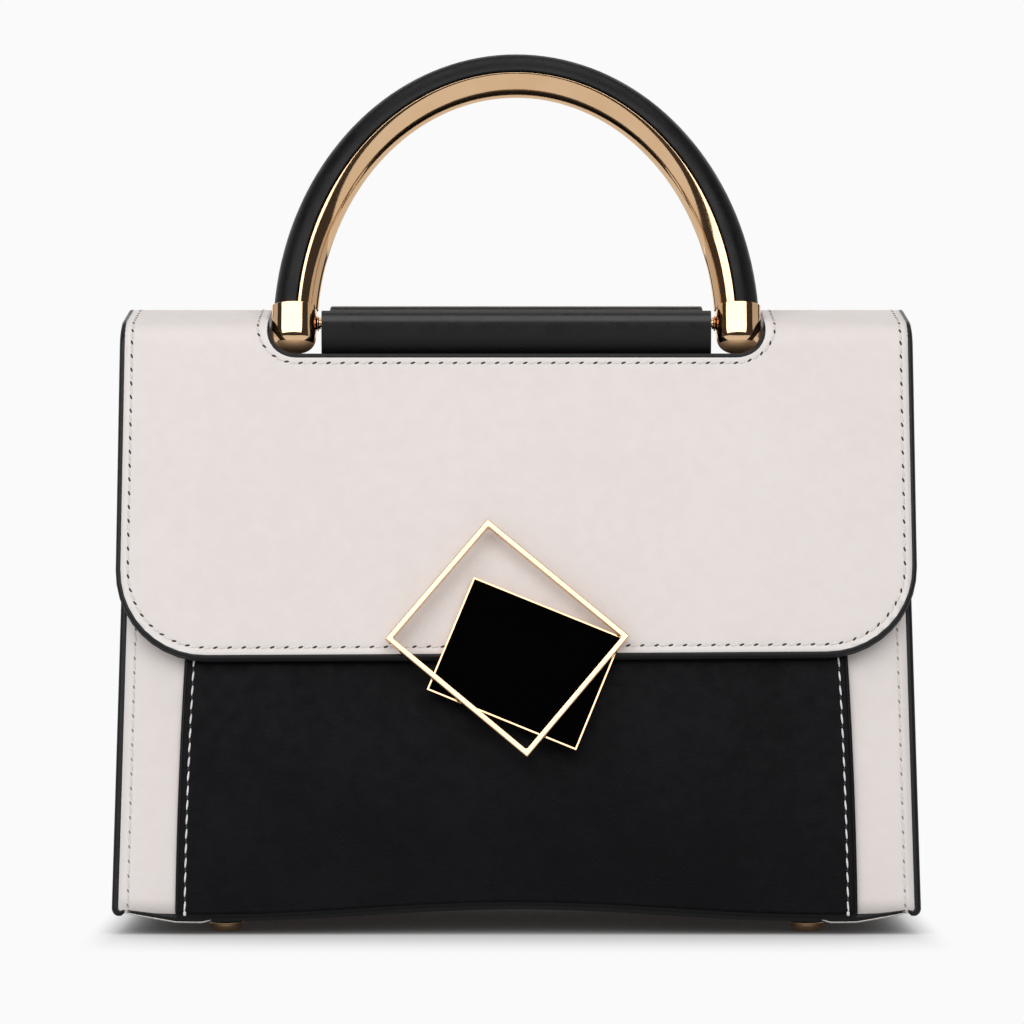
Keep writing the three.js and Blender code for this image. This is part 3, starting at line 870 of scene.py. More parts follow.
SUEDE = (0.55, 0.49, 0.45)
SUEDE_SHADE = (0.47, 0.42, 0.38)
rolled_leather = plain_leather("black_rolled_leather", BLACK_SHADE, BLACK_SHADE, 0.3, 0.2, rub=0.57)
wrap_leather = plain_leather("black_wrap_leather", BLACK, BLACK_SHADE, 0.38, 0.22)
suede = plain_leather("flesh_side", SUEDE, SUEDE_SHADE, 0.85, 0.2)


def edge_paint():
    """Thick painted edge: satin, a little uneven where the layers were built up."""
    finish = Finish("black_edge_paint", Specular_IOR_Level=0.25)
    ripple = finish.noise(420, 3, 0.55)
    cloudy = finish.noise(80, 2)
    return finish.feed(
        Base_Color=finish.blend(cloudy, (0.006, 0.006, 0.0075), (0.01, 0.01, 0.012)),
        Roughness=finish.step(ripple, 0.3, 0.7, 0.3, 0.42),
        Normal=finish.bump(ripple, 0.06),
    )


def thread(name, colour, shade):
    """Waxed thread with a fine twist."""
    finish = Finish(name)
    fibres = finish.noise(2600, 3, 0.6)
    return finish.feed(
        Base_Color=finish.blend(finish.step(fibres, 0.35, 0.65), colour, shade),
        Roughness=finish.step(fibres, 0.3, 0.7, 0.55, 0.75),
        Normal=finish.bump(fibres, 0.08),
    )


GOLD = (0.93, 0.63, 0.38)
GOLD_SHADE = (0.89, 0.585, 0.335)


def gold(name, smooth_rough, hazy_rough):
    """Pale plating with hairline scuffs and a breath of haze."""
    finish = Finish(name, Metallic=1)
    haze = finish.noise(70, 3)
    scuffs = finish.noise(900, 4, 0.7, 0.3, finish.stretched(6, 1, 1))
    return finish.feed(
        Base_Color=finish.blend(finish.step(haze, 0.3, 0.7), GOLD, GOLD_SHADE),
        Roughness=finish.step(haze * 0.6 + scuffs * 0.4, 0.3, 0.7, smooth_rough, hazy_rough),
        Normal=finish.bump(scuffs, 0.004),
    )


def enamel():
    """Poured black enamel, glassy, with the slightest swim in its surface."""
    finish = Finish("black_enamel", Specular_IOR_Level=0.003)
    swim = finish.noise(55, 2)
    return finish.feed(
        Base_Color=finish.blend(swim, (0.0004, 0.0004, 0.0005), (0.0006, 0.0006, 0.0007)),
        Roughness=finish.step(swim, 0.3, 0.7, 0.05, 0.1),
        Normal=finish.bump(swim, 0.05),
    )


paint = edge_paint()
cream_thread = thread("cream_thread", (0.8, 0.76, 0.73), (0.66, 0.62, 0.59))
white_thread = thread("white_thread", (0.9, 0.89, 0.88), (0.72, 0.71, 0.7))
# Painted shade: dark beads, and fainter ones on the cream body, stand in for the shadow in the needle holes.
dark_hole_shade = thread("needle_hole_shade", (0.018, 0.016, 0.016), (0.03, 0.027, 0.026))
faint_hole_shade = thread("faint_needle_hole_shade", (0.2, 0.185, 0.18), (0.3, 0.28, 0.27))
pale_gold = gold("pale_gold", 0.04, 0.1)
satin_gold = gold("satin_gold", 0.62, 0.7)
black_enamel = enamel()


# Flap


def run_at(height, start, end):
    """The distance along the flap's run, between two others, where it passes a height."""
    rising = flap_station(start)[1] < height
    for halving in range(40):
        middle = (start + end) / 2
        if (flap_station(middle)[1] < height) == rising:
            start = middle
        else:
            end = middle
    return start


RIDGE_MIDDLE = RIDGE_START + RIDGE_RADIUS * RIDGE_TURN / 2
FLAP_LOW = Vector((-FLAP_HALF_WIDTH, 0))
FLAP_HIGH = Vector((FLAP_HALF_WIDTH, FLAP_LENGTH))
WINDOW_LOW = Vector((-WINDOW_HALF_WIDTH, run_at(WINDOW_SILL, 0, RIDGE_START)))
WINDOW_HIGH = Vector((WINDOW_HALF_WIDTH, run_at(WINDOW_SILL, RIDGE_MIDDLE, FLAP_LENGTH)))


def flap_outline(inset):
    return rounded_outline(FLAP_LOW, FLAP_HIGH, FLAP_CORNER, FLAP_BACK_CORNER, inset)


def window_outline(outset):
    return rounded_outline(WINDOW_LOW, WINDOW_HIGH, WINDOW_CORNER, WINDOW_CORNER, -outset)


def window_fullness(u, v):
    """The window's edge paint is full along the front and the back, and thin at the sides."""
    from_end = min(v - WINDOW_LOW.y, WINDOW_HIGH.y - v)
    return WINDOW_SIDE_FULLNESS + (1 - WINDOW_SIDE_FULLNESS) * (1 - smooth(from_end / WINDOW_CORNER))


def window_paint_line():
    thin = window_outline(WINDOW_SIDE_FULLNESS * PAINT_REACH)
    full = window_outline(PAINT_REACH)
    shares = [(window_fullness(*p) - WINDOW_SIDE_FULLNESS) / (1 - WINDOW_SIDE_FULLNESS) for p in thin]
    return [a.lerp(b, share) for a, b, share in zip(thin, full, shares)]


def flap_depth(u, v):
    outer = rounded_depth(u, v, FLAP_LOW, FLAP_HIGH, FLAP_CORNER, FLAP_BACK_CORNER)
    window = -rounded_depth(u, v, WINDOW_LOW, WINDOW_HIGH, WINDOW_CORNER, WINDOW_CORNER)
    return min(outer, window + FLAP_STITCH_INSET - WINDOW_STITCH_INSET)


def build_flap():
    """Two layers glued back to back, each with its own painted edge, stitched all round."""
    bm = cut_sheet(flap_outline(PAINT_REACH), FLAP_CELL)
    window_line = window_paint_line()
    cut_window(bm, window_line, WINDOW_SCORE)
    form(bm, flap_surface, flap_depth)
    sheet = finish_piece("flap_leather", bm, "bag", [cream_leather, suede], ["flap"])
    give_wall(sheet, FLAP_WALL, inner_finish=1)
    middle = FLAP_WALL / 2
    edges = [("flap", flap_outline(PAINT_REACH), None), ("window", window_line, window_fullness)]
    outer_reach = PAINT_REACH - LAYER_STEP
    for name, line, fullness in edges:
        paint_piece(f"{name}_edge", flap_surface, line, 0, middle, outer_reach, True, fullness)
        paint_piece(f"{name}_inner_edge", flap_surface, line, middle, FLAP_WALL, PAINT_REACH, True, fullness)
    lines = [flap_outline(FLAP_STITCH_INSET), window_outline(WINDOW_STITCH_INSET)]
    rows = [(line, STITCH_SLANT) for line in lines]
    threads, hole_shades = sew(flap_surface, rows, FLAP_STITCH, closed=True)
    finish_piece("flap_thread", threads, "bag", [cream_thread])
    finish_piece("flap_needle_hole_shade", hole_shades, "bag", [dark_hole_shade])


build_flap()


# Standing walls


def wall_outline(half_width, low, high, inset, corner):
    return rounded_outline(Vector((-half_width, low)), Vector((half_width, high)), corner, corner, inset, 5)


def build_wall(name, node, surface, height):
    """A cream wall with a tonal stitch row by each side.

    Its edge paint turns under at the lower corners and thins out, and the paint along the foot starts after a
    tick. A thread of cream piping shows under the foot towards the ends of the bag.
    """
    low = SHEET_FOOT - WALL_PAINT_REACH
    sheet_line = wall_outline(BASE_HALF_WIDTH, low, height, WALL_PAINT_REACH, PANEL_CORNER)
    bm = cut_sheet(sheet_line, WALL_CELL)
    form(bm, surface, lambda u, v: BASE_HALF_WIDTH - abs(u))
    sheet = finish_piece(f"{name}_leather", bm, "bag", [body_leather, suede], [node])
    give_wall(sheet, WALL, inner_finish=1)
    tick = BASE_HALF_WIDTH - TICK_INSET
    foot_start = tick - TICK_GAP
    outline = wall_outline(BASE_HALF_WIDTH, -TURN_DROP, height, WALL_PAINT_REACH, PANEL_CORNER)
    turned_under = [Vector((tick, TICK_RISE)), *outline, Vector((-tick, TICK_RISE))]
    foot = [
        Vector((-foot_start, TICK_RISE)),
        Vector((-FOOT_FULL, FOOT_PAINT_RISE)),
        Vector((FOOT_FULL, FOOT_PAINT_RISE)),
        Vector((foot_start, TICK_RISE)),
    ]

    def turn_fullness(u, v):
        return TURN_FULLNESS + (1 - TURN_FULLNESS) * smooth((abs(u) - tick) / (TICK_INSET - WALL_PAINT_REACH))

    def foot_fullness(u, v):
        share = min(1, (foot_start - abs(u)) / (foot_start - FOOT_FULL))
        return FOOT_FULLNESS + (1 - FOOT_FULLNESS) * share

    paint_piece(f"{name}_edge", surface, turned_under, 0, WALL, WALL_PAINT_REACH, False, turn_fullness)
    paint_piece(f"{name}_foot_edge", surface, foot, 0, WALL, FOOT_PAINT_REACH, False, foot_fullness)
    under_tick = TICK_RISE - FOOT_FULLNESS * FOOT_PAINT_REACH - PIPING / 2
    under_foot = FOOT_PAINT_RISE - FOOT_PAINT_REACH - PIPING / 2
    for hand, side in (("right", -1), ("left", 1)):
        line = [
            Vector((side * tick, under_tick)),
            Vector((side * FOOT_FULL, under_foot)),
            Vector((side * PIPING_END, under_foot)),
            Vector((side * (PIPING_END - PIPING_TUCK), FOOT_PAINT_RISE)),
        ]
        bead = paint_edge(surface, line, PIPING, WALL - PIPING, PIPING, False)
        finish_piece(f"{name}_piping_{hand}", bead, "bag", [cream_thread])
    rows = []
    for side in (-1, 1):
        u = side * (BASE_HALF_WIDTH - BODY_STITCH_INSET)
        rows.append(([Vector((u, BODY_ROW_START)), Vector((u, height - ROW_END))], STITCH_SLANT))
    threads, hole_shades = sew(surface, rows, BODY_STITCH, closed=False)
    finish_piece(f"{name}_thread", threads, "bag", [cream_thread])
    finish_piece(f"{name}_needle_hole_shade", hole_shades, "bag", [faint_hole_shade])


build_wall("front", "front_panel", front_surface, FRONT_TOP - PANEL_BOTTOM)
build_wall("back", "back_panel", back_surface, BACK_TOP - PANEL_BOTTOM)


def inset_rim(bm, width):
    """Scores a line all round a sheet, inside its outer edge."""
    bmesh.ops.inset_region(bm, faces=bm.faces[:], thickness=width, use_even_offset=True, use_boundary=True)


def build_center():
    """The black overlay, with a white stitch row by each side."""
    height = CENTER_TOP - PANEL_BOTTOM
    outline = wall_outline(CENTER_HALF_WIDTH, CENTER_FOOT, height, THIN_PAINT_REACH, CENTER_CORNER)
    bm = cut_sheet(outline, WALL_CELL)
    inset_rim(bm, THIN_PAINT_REACH)
    form(bm, center_surface, lambda u, v: CENTER_HALF_WIDTH - abs(u))
    replaced = ["front_center_panel"]
    sheet = finish_piece("center_leather", bm, "bag", [black_leather], replaced)
    give_wall(sheet, CENTER_WALL)
    bead = paint_edge(center_surface, outline, 2 * PAINT_PROUD, CENTER_WALL, THIN_PAINT_REACH, closed=True)
    finish_piece("center_edge", bead, "bag", [rolled_leather])
    rows = []
    for side in (-1, 1):
        u = side * (CENTER_HALF_WIDTH - CENTER_STITCH_INSET)
        line = [Vector((u, CENTER_ROW_START)), Vector((u, height - ROW_END))]
        rows.append((line, side * STITCH_SLANT / 2))
    threads, hole_shades = sew(center_surface, rows, CENTER_STITCH, closed=False, knot=CENTER_KNOT)
    finish_piece("center_thread", threads, "bag", [white_thread])
    finish_piece("center_needle_hole_shade", hole_shades, "bag", [dark_hole_shade])


build_center()


# Side walls


def build_gusset(name, side):
    height = GUSSET_TOP - GUSSET_LOW
    surface = gusset_surface(side)
    flat = [Vector((-1, 0)), Vector((1, 0)), Vector((1, height)), Vector((-1, height))]
    bm = cut_sheet(flat, GUSSET_CELL)
    bends = [e for e in bm.edges if all(abs(abs(v.co.x) - FLANGE_SHARE) < SAME_POINT for v in e.verts)]
    form(bm, surface, lambda u, v: FAR_FROM_STITCHES)
    round_edges(bm, bends, GUSSET_BEND)
    sheet = finish_piece(f"{name}_leather", bm, "bag", [body_leather, suede], [name])
    give_wall(sheet, GUSSET_WALL, inner_finish=1)
    for end, u in (("front", -side), ("back", side)):
        line = [Vector((u, FLANGE_PAINT_END)), Vector((u, height - FLANGE_PAINT_END))]
        paint_piece(f"{name}_{end}_edge", surface, line, 0, GUSSET_WALL, THIN_PAINT_REACH, False)
    mouth = spread([Vector((-1, height)), Vector((1, height))], GUSSET_CELL.x, closed=False)
    paint_piece(f"{name}_mouth_edge", surface, mouth, 0, GUSSET_WALL, THIN_PAINT_REACH, False)


build_gusset("gusset_left", -1)
build_gusset("gusset_right", 1)


# Bottom and feet


def plate_surface(u, v):
    """The plate's underside, which rises with the walls' feet at both ends."""
    rise = BOTTOM_HALF_LENGTH - PLATE_LEVEL_END - BOARD_HALF_LENGTH
    lift = PLATE_LIFT * smooth((abs(u) - BOARD_HALF_LENGTH) / rise)
    return bottom_surface(u, v) + Vector((0, 0, BOTTOM_WALL - BOTTOM_PLATE + lift))


def build_bottom():
    """A black plate from side to side behind the walls' feet, and a shorter board under it for the feet."""
    plate_size = Vector((BOTTOM_HALF_LENGTH - BOTTOM_PLATE, BOTTOM_HALF_DEPTH - PLATE_SETBACK))
    board_size = Vector((BOARD_HALF_LENGTH, BOTTOM_HALF_DEPTH - BOTTOM_SETBACK))
    layers = [
        ("bottom_plate", plate_surface, plate_size, BOTTOM_PLATE, ["bottom_panel"]),
        ("bottom_board", bottom_surface, board_size, BOTTOM_WALL - BOTTOM_PLATE, []),
    ]
    for name, surface, size, wall, replaced in layers:
        bm = cut_sheet(rounded_outline(-size, size, BOTTOM_CORNER, BOTTOM_CORNER, 0, 6), BOTTOM_CELL)
        form(bm, surface, lambda u, v: FAR_FROM_STITCHES)
        give_wall(finish_piece(name, bm, "bag", [black_leather], replaced), wall)


build_bottom()


def spun(profile, place, steps=40):
    """A profile of (radius, height) points turned once about its own upright axis."""
    bm = bmesh.new()
    verts = [bm.verts.new((radius, 0, height)) for radius, height in profile]
    edges = [bm.edges.new(pair) for pair in zip(verts, verts[1:])]
    bmesh.ops.spin(
        bm,
        geom=verts + edges,
        cent=(0, 0, 0),
        axis=(0, 0, 1),
        dvec=(0, 0, 0),
        angle=2 * math.pi,
        steps=steps,
        use_merge=True,
    )
    bmesh.ops.remove_doubles(bm, verts=bm.verts, dist=SAME_POINT)
    bmesh.ops.recalc_face_normals(bm, faces=bm.faces)
    bmesh.ops.transform(bm, matrix=place, verts=bm.verts)
    return bm


def arc(middle, radius, start, end, steps, keel=2):
    """Points of an arc, its angles in degrees.

    A keel under 2 flattens it between its four sides, and one over 2 fills it out.
    """
    points = []
    for i in range(steps + 1):
        turn = math.radians(start + (end - start) * i / steps)
        x = math.cos(turn)
        y = math.sin(turn)
        reach = radius / (abs(x) ** keel + abs(y) ** keel) ** (1 / keel)
        points.append((middle[0] + reach * x, middle[1] + reach * y))
    return points


def build_foot(name):
    place = Matrix.Translation(box_middle(name).xy.to_3d())
    spread_out = FOOT_RADIUS - FOOT_STEP - FOOT_PAD_RADIUS
    rise = FOOT_HEIGHT - 2 * FOOT_ROUND
    dome = [
        (FOOT_PAD_RADIUS + spread_out * math.sin(t), rise * (1 - math.cos(t)))
        for t in [math.pi / 2 * i / 8 for i in range(9)]
    ]
    flange = arc((FOOT_RADIUS - FOOT_ROUND, FOOT_HEIGHT - FOOT_ROUND), FOOT_ROUND, -60, 90, 5)
    bm = spun([(0, 0), *dome, *flange, (0, FOOT_HEIGHT)], place)
    finish_piece(f"{name}_dome", bm, "bag", [pale_gold], [name], crisp=True)


for foot in ("foot_front_left", "foot_front_right", "foot_back_left", "foot_back_right"):
    build_foot(foot)


# Handle


def arch_stations(leg_foot):
    """Axes along the arch from the left leg's foot to the right one: x outwards, z along it."""
    placed = []
    count = 76
    start = math.asin((leg_foot - ARCH_SPRING) / ARCH_RISE)
    for i in range(count + 1):
        turn = math.pi - start - (math.pi - 2 * start) * i / count
        out = Vector((ARCH_RISE * math.cos(turn), 0, ARCH_HALF_SPAN * math.sin(turn))).normalized()
        along = Vector((out.z, 0, -out.x))
        at = Vector((ARCH_HALF_SPAN * math.cos(turn), 0, ARCH_SPRING + ARCH_RISE * math.sin(turn)))
        placed.append(HANDLE_PLACE @ axes(at, out, along.cross(out), along))
    return placed


def swept_section(section, stations):
    bm = bmesh.new()
    verts = [bm.verts.new(stations[0] @ Vector((x, y, 0))) for x, y in section]
    ring = [bm.edges.new(pair) for pair in closed_pairs(verts)]
    sweep(bm, ring, stations)
    return bm


def build_arch():
    lip = RECESS_HALF_ANGLE
    heart = (0, 0)
    section = arc(heart, RECESS_RADIUS, -lip, lip, 10)
    section += arc(heart, ARCH_RADIUS, lip, 360 - lip, 48, ARCH_KEEL)
    casting = swept_section(section, arch_stations(FERRULE_TOP - ARCH_SINK))
    cheek = WRAP_HALF_ANGLE
    section = arc(heart, WRAP_OUTER_RADIUS, -cheek, cheek, 22)
    section += arc(heart, WRAP_INNER_RADIUS, cheek, -cheek, 8)
    wrap = swept_section(section, arch_stations(FERRULE_TOP - WRAP_SINK))
    for side in (-1, 1):
        add_ferrule(casting, side)
    finishes = [pale_gold, satin_gold]
    piece = finish_piece("handle_casting", casting, "handle", finishes, ["handle_arch"], True)
    soften_edges(piece, CASTING_SOFT)
    piece = finish_piece("handle_leather", wrap, "handle", [wrap_leather], ["handle_wrap"])
    soften_edges(piece, WRAP_SOFT)


def add_ferrule(casting, side):
    """A capped end with a full round nose, satin underneath, and a stepped collar towards the rod."""
    place = Matrix.Translation((side * HALF_SPAN, 0, 0))
    barrel = [
        *arc((0, FERRULE_BALL), FERRULE_RADIUS, -90, 0, 20, FERRULE_FULLNESS),
        (FERRULE_RADIUS, FERRULE_BALL + FERRULE_BLEND),
        (FERRULE_RADIUS, FERRULE_TOP),
        (0, FERRULE_TOP),
    ]
    shape = spun(barrel, place, 48)
    for face in shape.faces:
        if face.calc_center_median().z < SATIN_TOP:
            face.material_index = 1
    start = FERRULE_RADIUS - COLLAR_SINK
    shoulder = start + COLLAR_LENGTH
    end = HALF_SPAN - SLEEVE_HALF_LENGTH - COLLAR_GAP
    steps = [
        (0, start),
        *arc((COLLAR_RADIUS - COLLAR_ROUND, shoulder - COLLAR_ROUND), COLLAR_ROUND, 0, 90, 4),
        (COLLAR_NECK, shoulder),
        (COLLAR_NECK, end),
        (0, end),
    ]
    collar = spun(steps, place @ Matrix.Rotation(-side * math.pi / 2, 4, "Y"), 24)
    for part in (shape, collar):
        stamp(casting, part, HANDLE_PLACE)
        part.free()


build_arch()


def build_rod():
    half = HALF_SPAN - ROD_SETBACK
    profile = [(0, -half), (ROD_RADIUS, -half), (ROD_RADIUS, half), (0, half)]
    bm = spun(profile, HANDLE_PLACE @ Matrix.Rotation(math.pi / 2, 4, "Y"), 24)
    finish_piece("handle_pin", bm, "handle", [pale_gold], ["handle_rod"], True)


build_rod()


# Sleeve: a rolled core with its tail, and a facing that wraps the front of it


def across_bag(section, half_length):
    """A closed section of (y, z) points drawn right across the bag."""
    ends = [
        axes(Vector((x, 0, 0)), Vector((0, 1, 0)), Vector((0, 0, 1)), Vector((1, 0, 0)))
        for x in (-half_length, half_length)
    ]
    return swept_section(section, ends)


def band(line, wall):
    """A closed section: a line of (y, z) points with half the wall on either side."""
    one, other = [], []
    for i, point in enumerate(line):
        before = Vector(line[max(i - 1, 0)])
        after = Vector(line[min(i + 1, len(line) - 1)])
        along = (after - before).normalized()
        out = Vector((-along.y, along.x)) * wall / 2
        one.append(tuple(Vector(point) + out))
        other.append(tuple(Vector(point) - out))
    return one + other[::-1]


def curve(start, bend, end, steps):
    """Points of a soft bend from start to end, pulled towards bend."""
    points = []
    for i in range(steps + 1):
        t = i / steps
        points.append(tuple(start.lerp(bend, t).lerp(bend.lerp(end, t), t)))
    return points


def add_sleeve_part(name, section, half_length, replaced, softness):
    bm = across_bag(section, half_length)
    piece = finish_piece(name, bm, "bag", [rolled_leather], replaced, True)
    soften_edges(piece, softness)


def build_sleeve():
    axis = Vector((AXIS.y, AXIS.z))
    core = axis + Vector((CORE_SHIFT.y, CORE_SHIFT.z))
    inset = WALL / math.cos(BACK_LEAN) + SLEEVE_TAIL_GAP + SLEEVE_NECK / 4

    def behind(z):
        return Vector((back_face(z) + crown(SLEEVE_HALF_LENGTH, z) - inset, z))

    neck_top = Vector((axis.x + SLEEVE_NECK / 4, axis.y - SLEEVE_RADIUS / 2))
    neck_low = Vector((axis.x + SLEEVE_NECK / 4, axis.y - 2 * SLEEVE_RADIUS))
    hang = Vector((axis.x + SLEEVE_TAIL_SWING, SLEEVE_HANG))
    knee = behind(SLEEVE_HANG)
    below = behind(SLEEVE_HANG - SLEEVE_TAIL_BEND)
    tail = [
        tuple(neck_top),
        *curve(neck_low, Vector((axis.x, SLEEVE_HANG)), hang, 8),
        *curve(Vector((knee.x - SLEEVE_TAIL_BEND, SLEEVE_HANG)), knee, below, 6),
        tuple(behind(SLEEVE_TAIL_END)),
    ]
    middle_radius = SLEEVE_RADIUS - FACING_WALL / 2
    front = Vector((axis.x - middle_radius, axis.y))
    tucked = Vector((axis.x - SLEEVE_NECK, axis.y - FACING_TUCK))
    facing = [
        *curve(tucked, Vector((front.x, axis.y - SLEEVE_RADIUS)), front, 10),
        *arc(axis, middle_radius, 180, 180 - FACING_LIP, 12)[1:],
    ]
    core_length = SLEEVE_HALF_LENGTH - CORE_SETBACK
    roll = arc(core, CORE_RADIUS, 0, 350, 35)
    add_sleeve_part("sleeve_roll", roll, core_length, ["handle_sleeve"], CORE_SOFT)
    add_sleeve_part("sleeve_tail", band(tail, SLEEVE_NECK / 2), core_length, (), SLEEVE_TAIL_SOFT)
    add_sleeve_part("sleeve_facing", band(facing, FACING_WALL), SLEEVE_HALF_LENGTH, (), FACING_SOFT)


build_sleeve()


# Clasp: an open frame soldered over an enamelled tile


def clasp_place():
    y = FLAP_EDGE_Y + BASE_Y + (CLASP_Z - FLAP_EDGE_Z) * math.tan(FLAP_LEAN) - crown(CLASP_X, CLASP_Z)
    leaned = Matrix.Translation((CLASP_X, y, CLASP_Z)) @ Matrix.Rotation(-FLAP_LEAN, 4, "X")
    return leaned @ Matrix.Rotation(math.pi / 2, 4, "X")


CLASP_PLACE = clasp_place()


def raise_faces(bm, faces, height):
    made = bmesh.ops.extrude_face_region(bm, geom=faces)["geom"]
    moved = [v for v in made if isinstance(v, bmesh.types.BMVert)]
    bmesh.ops.translate(bm, vec=(0, 0, height), verts=moved)
    return [f for f in made if isinstance(f, bmesh.types.BMFace)]


def plate(length, height, place, cells=1):
    bm = bmesh.new()
    bmesh.ops.create_grid(
        bm,
        x_segments=cells,
        y_segments=cells,
        size=0.5,
        matrix=place @ Matrix.Diagonal((length, height, 1, 1)),
    )
    return bm


def clasp_layer(middle, height, turn):
    return Matrix.Translation(middle + Vector((0, 0, height))) @ Matrix.Rotation(turn, 4, "Z")


def set_on_flap(name, bm, finish, replaced, softness):
    bmesh.ops.recalc_face_normals(bm, faces=bm.faces)
    bmesh.ops.transform(bm, matrix=CLASP_PLACE, verts=bm.verts)
    soften_edges(finish_piece(name, bm, "bag", [finish], replaced, True), softness)


def build_clasp_frame():
    """A square bar bent to an open frame, with rounded inside corners."""
    bm = plate(FRAME_LENGTH, FRAME_HEIGHT, clasp_layer(Vector((0, 0, 0)), FRAME_BACK, FRAME_TURN))
    inset_rim(bm, FRAME_BAR)
    inside = [f for f in bm.faces if f.calc_center_median().xy.length < FRAME_BAR]
    bmesh.ops.delete(bm, geom=inside, context="FACES")
    raise_faces(bm, bm.faces[:], TRAY_STANDOFF + TRAY_DEPTH + FRAME_DEPTH - FRAME_BACK)
    bmesh.ops.recalc_face_normals(bm, faces=bm.faces)
    between = Vector((FRAME_LENGTH - FRAME_BAR, FRAME_HEIGHT - FRAME_BAR)).length / 2
    upright_edges = [e for e in bm.edges if abs(e.verts[0].co.z - e.verts[1].co.z) > FRAME_DEPTH / 2]
    inside_corners = [e for e in upright_edges if e.verts[0].co.xy.length < between]
    round_edges(bm, inside_corners, FRAME_CORNER)
    set_on_flap("clasp_open_frame", bm, pale_gold, ["clasp_frame"], FRAME_SOFT)


def build_clasp_tile():
    """A shallow tray with a narrow rim, filled with enamel."""
    bm = plate(TILE_LENGTH, TILE_HEIGHT, clasp_layer(TILE_OFFSET, TRAY_STANDOFF, TILE_TURN))
    front = raise_faces(bm, bm.faces[:], TRAY_DEPTH)
    bmesh.ops.recalc_face_normals(bm, faces=bm.faces)
    bmesh.ops.inset_region(bm, faces=front, thickness=TRAY_RIM, use_even_offset=True)
    raise_faces(bm, front, -TRAY_SINK)
    bmesh.ops.delete(bm, geom=front, context="FACES_ONLY")
    set_on_flap("clasp_tray", bm, pale_gold, (), TRAY_SOFT)
    lift = TRAY_STANDOFF + TRAY_DEPTH - ENAMEL_SINK - ENAMEL_DEPTH
    place = clasp_layer(TILE_OFFSET, lift, TILE_TURN)
    bm = plate(TILE_LENGTH - 2 * TRAY_RIM, TILE_HEIGHT - 2 * TRAY_RIM, place, ENAMEL_CELLS)
    raise_faces(bm, bm.faces[:], ENAMEL_DEPTH)
    set_on_flap("clasp_enamel_fill", bm, black_enamel, ["clasp_enamel"], ENAMEL_SOFT)


build_clasp_frame()
build_clasp_tile()

magnet = frame["nodes"]["clasp_magnet"]
magnet.data.materials.clear()
magnet.data.materials.append(pale_gold)


# Studio

CAMERA_X = -1.2
CAMERA_HEIGHT = 115.5
CAMERA_DISTANCE = 1100
CAMERA_LENS = 141.8
FLOOR_SIZE = 3.4
PAPER = (0.956, 0.956, 0.956)
CONTACT_SHADE = (0.015, 0.0125, 0.0115)
SHADOW_REACH = 48
SHADOW_SIDE = 108
SHADOW_SIDE_FADE = 10
SHADOW_DEPTH = 1.15
FILL = (0.7, 0.7, 0.7)
ROOM = (0.045, 0.04, 0.037)

scene = bpy.context.scene
scene.view_settings.view_transform = "Standard"

camera_data = bpy.data.cameras.new("camera")
camera_data.lens = CAMERA_LENS
camera_data.sensor_width = 36
camera_data.clip_start = 0.05
camera_data.clip_end = 100
camera = bpy.data.objects.new("camera", camera_data)
camera.location = Vector((CAMERA_X, BASE_Y - BAG_DEPTH / 2 - CAMERA_DISTANCE, CAMERA_HEIGHT)) * MM
camera.rotation_euler = (math.pi / 2, 0, 0)
scene.collection.objects.link(camera)
scene.camera = camera


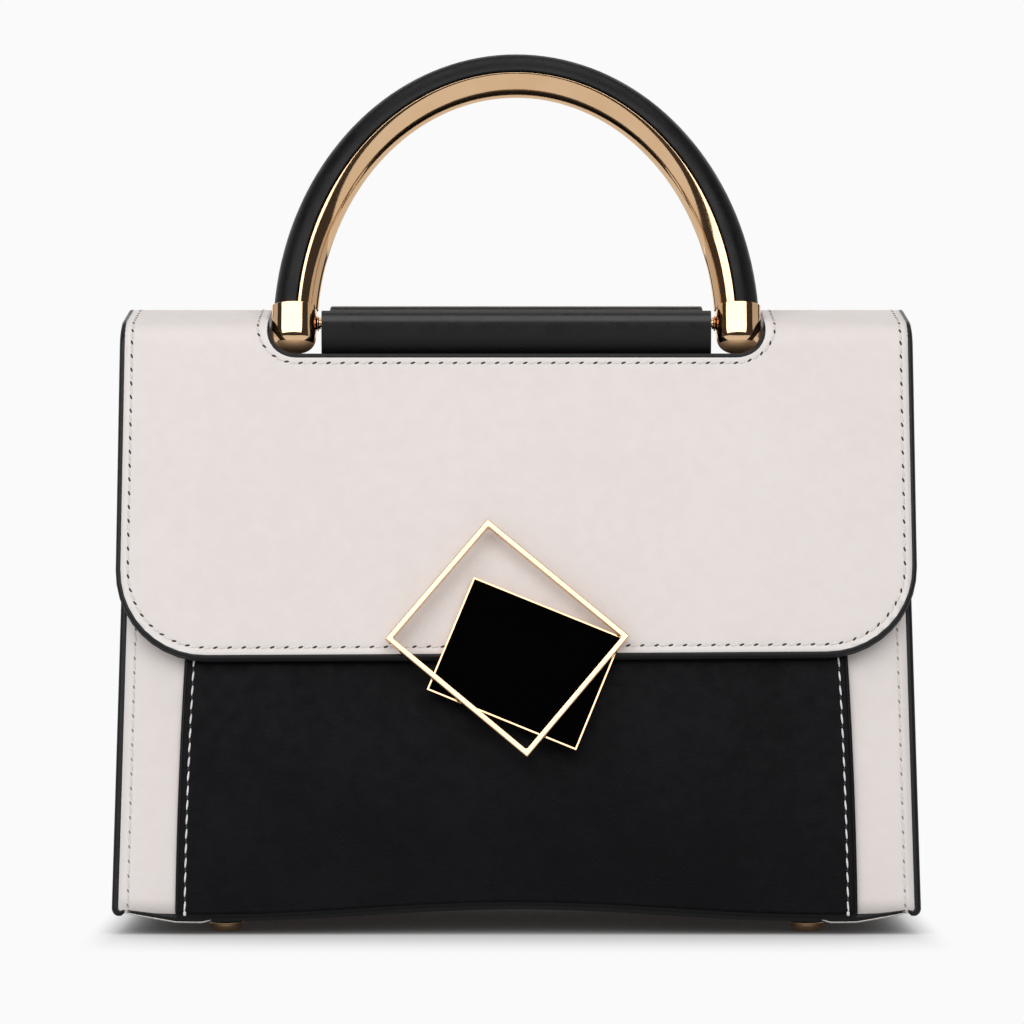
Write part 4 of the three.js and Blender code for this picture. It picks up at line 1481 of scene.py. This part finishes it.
def build_floor():
    bm = bmesh.new()
    bmesh.ops.create_grid(bm, x_segments=1, y_segments=1, size=FLOOR_SIZE / 2)
    mesh = bpy.data.meshes.new("floor")
    bm.to_mesh(mesh)
    bm.free()
    finish = Finish("floor_paper", Roughness=1, Specular_IOR_Level=0, Emission_Strength=1)
    finish.shader.inputs["Base Color"].default_value = (0, 0, 0, 1)
    # The floor only glows: its contact shadow is painted into the glow from ambient occlusion, and painted
    # out beyond the bag's sides.
    reach = {"Distance": SHADOW_REACH * MM}
    open_sky = finish.node("ShaderNodeAmbientOcclusion", {"samples": 32}, reach, "AO")
    across = finish.node("ShaderNodeSeparateXYZ", {}, {"Vector": finish.place()}, "X")
    beside_from = SHADOW_SIDE * MM
    beside = finish.step(across.maths("ABSOLUTE", across), beside_from, beside_from + SHADOW_SIDE_FADE * MM)
    washed = open_sky + (1 - open_sky) * beside
    in_picture = finish.node("ShaderNodeLightPath", {}, {}, "Is Camera Ray")
    paper = finish.blend(in_picture, FILL, PAPER)
    lit = washed.maths("POWER", washed, SHADOW_DEPTH)
    finish.feed(Emission_Color=finish.blend(lit, CONTACT_SHADE, paper))
    mesh.materials.append(finish.material)
    floor = bpy.data.objects.new("floor", mesh)
    scene.collection.objects.link(floor)


build_floor()


def softbox(name, place, aim, width, height, watts):
    light = bpy.data.lights.new(name, "AREA")
    light.shape = "RECTANGLE"
    light.size = width
    light.size_y = height
    light.energy = watts
    holder = bpy.data.objects.new(name, light)
    holder.location = place
    holder.rotation_euler = (Vector(aim) - Vector(place)).to_track_quat("-Z", "Y").to_euler()
    holder.visible_camera = False
    scene.collection.objects.link(holder)


softbox("front_bank", (-0.82, -1.35, 0.98), (-0.82, 0, 0.1), 4.2, 1.15, 35.8)
softbox("top_softbox", (0, -0.1, 1.6), (0, 0, 0.1), 1.6, 1, 7.6)
softbox("back_sweep", (0, 2.4, 1.2), (0, 0, 0.3), 5, 2.6, 38)
softbox("left_card", (-1.5, 0.6, 0.55), (0, 0, 0.2), 1, 1.3, 2)
softbox("right_card", (1.5, 0.25, 0.55), (0, 0, 0.2), 1.2, 1.3, 2.2)

world = bpy.data.worlds.new("studio")
scene.world = world
world.use_nodes = True
tree = world.node_tree
room = add_node(tree, "ShaderNodeBackground", {}, {"Color": (*ROOM, 1)})
white = add_node(tree, "ShaderNodeBackground", {}, {"Color": (*PAPER, 1)})
in_picture = add_node(tree, "ShaderNodeLightPath", {}, {}, "Is Camera Ray")
surround = add_node(tree, "ShaderNodeMixShader", {}, {0: in_picture, 1: room, 2: white})
tree.links.new(surround.socket, tree.nodes["World Output"].inputs["Surface"])
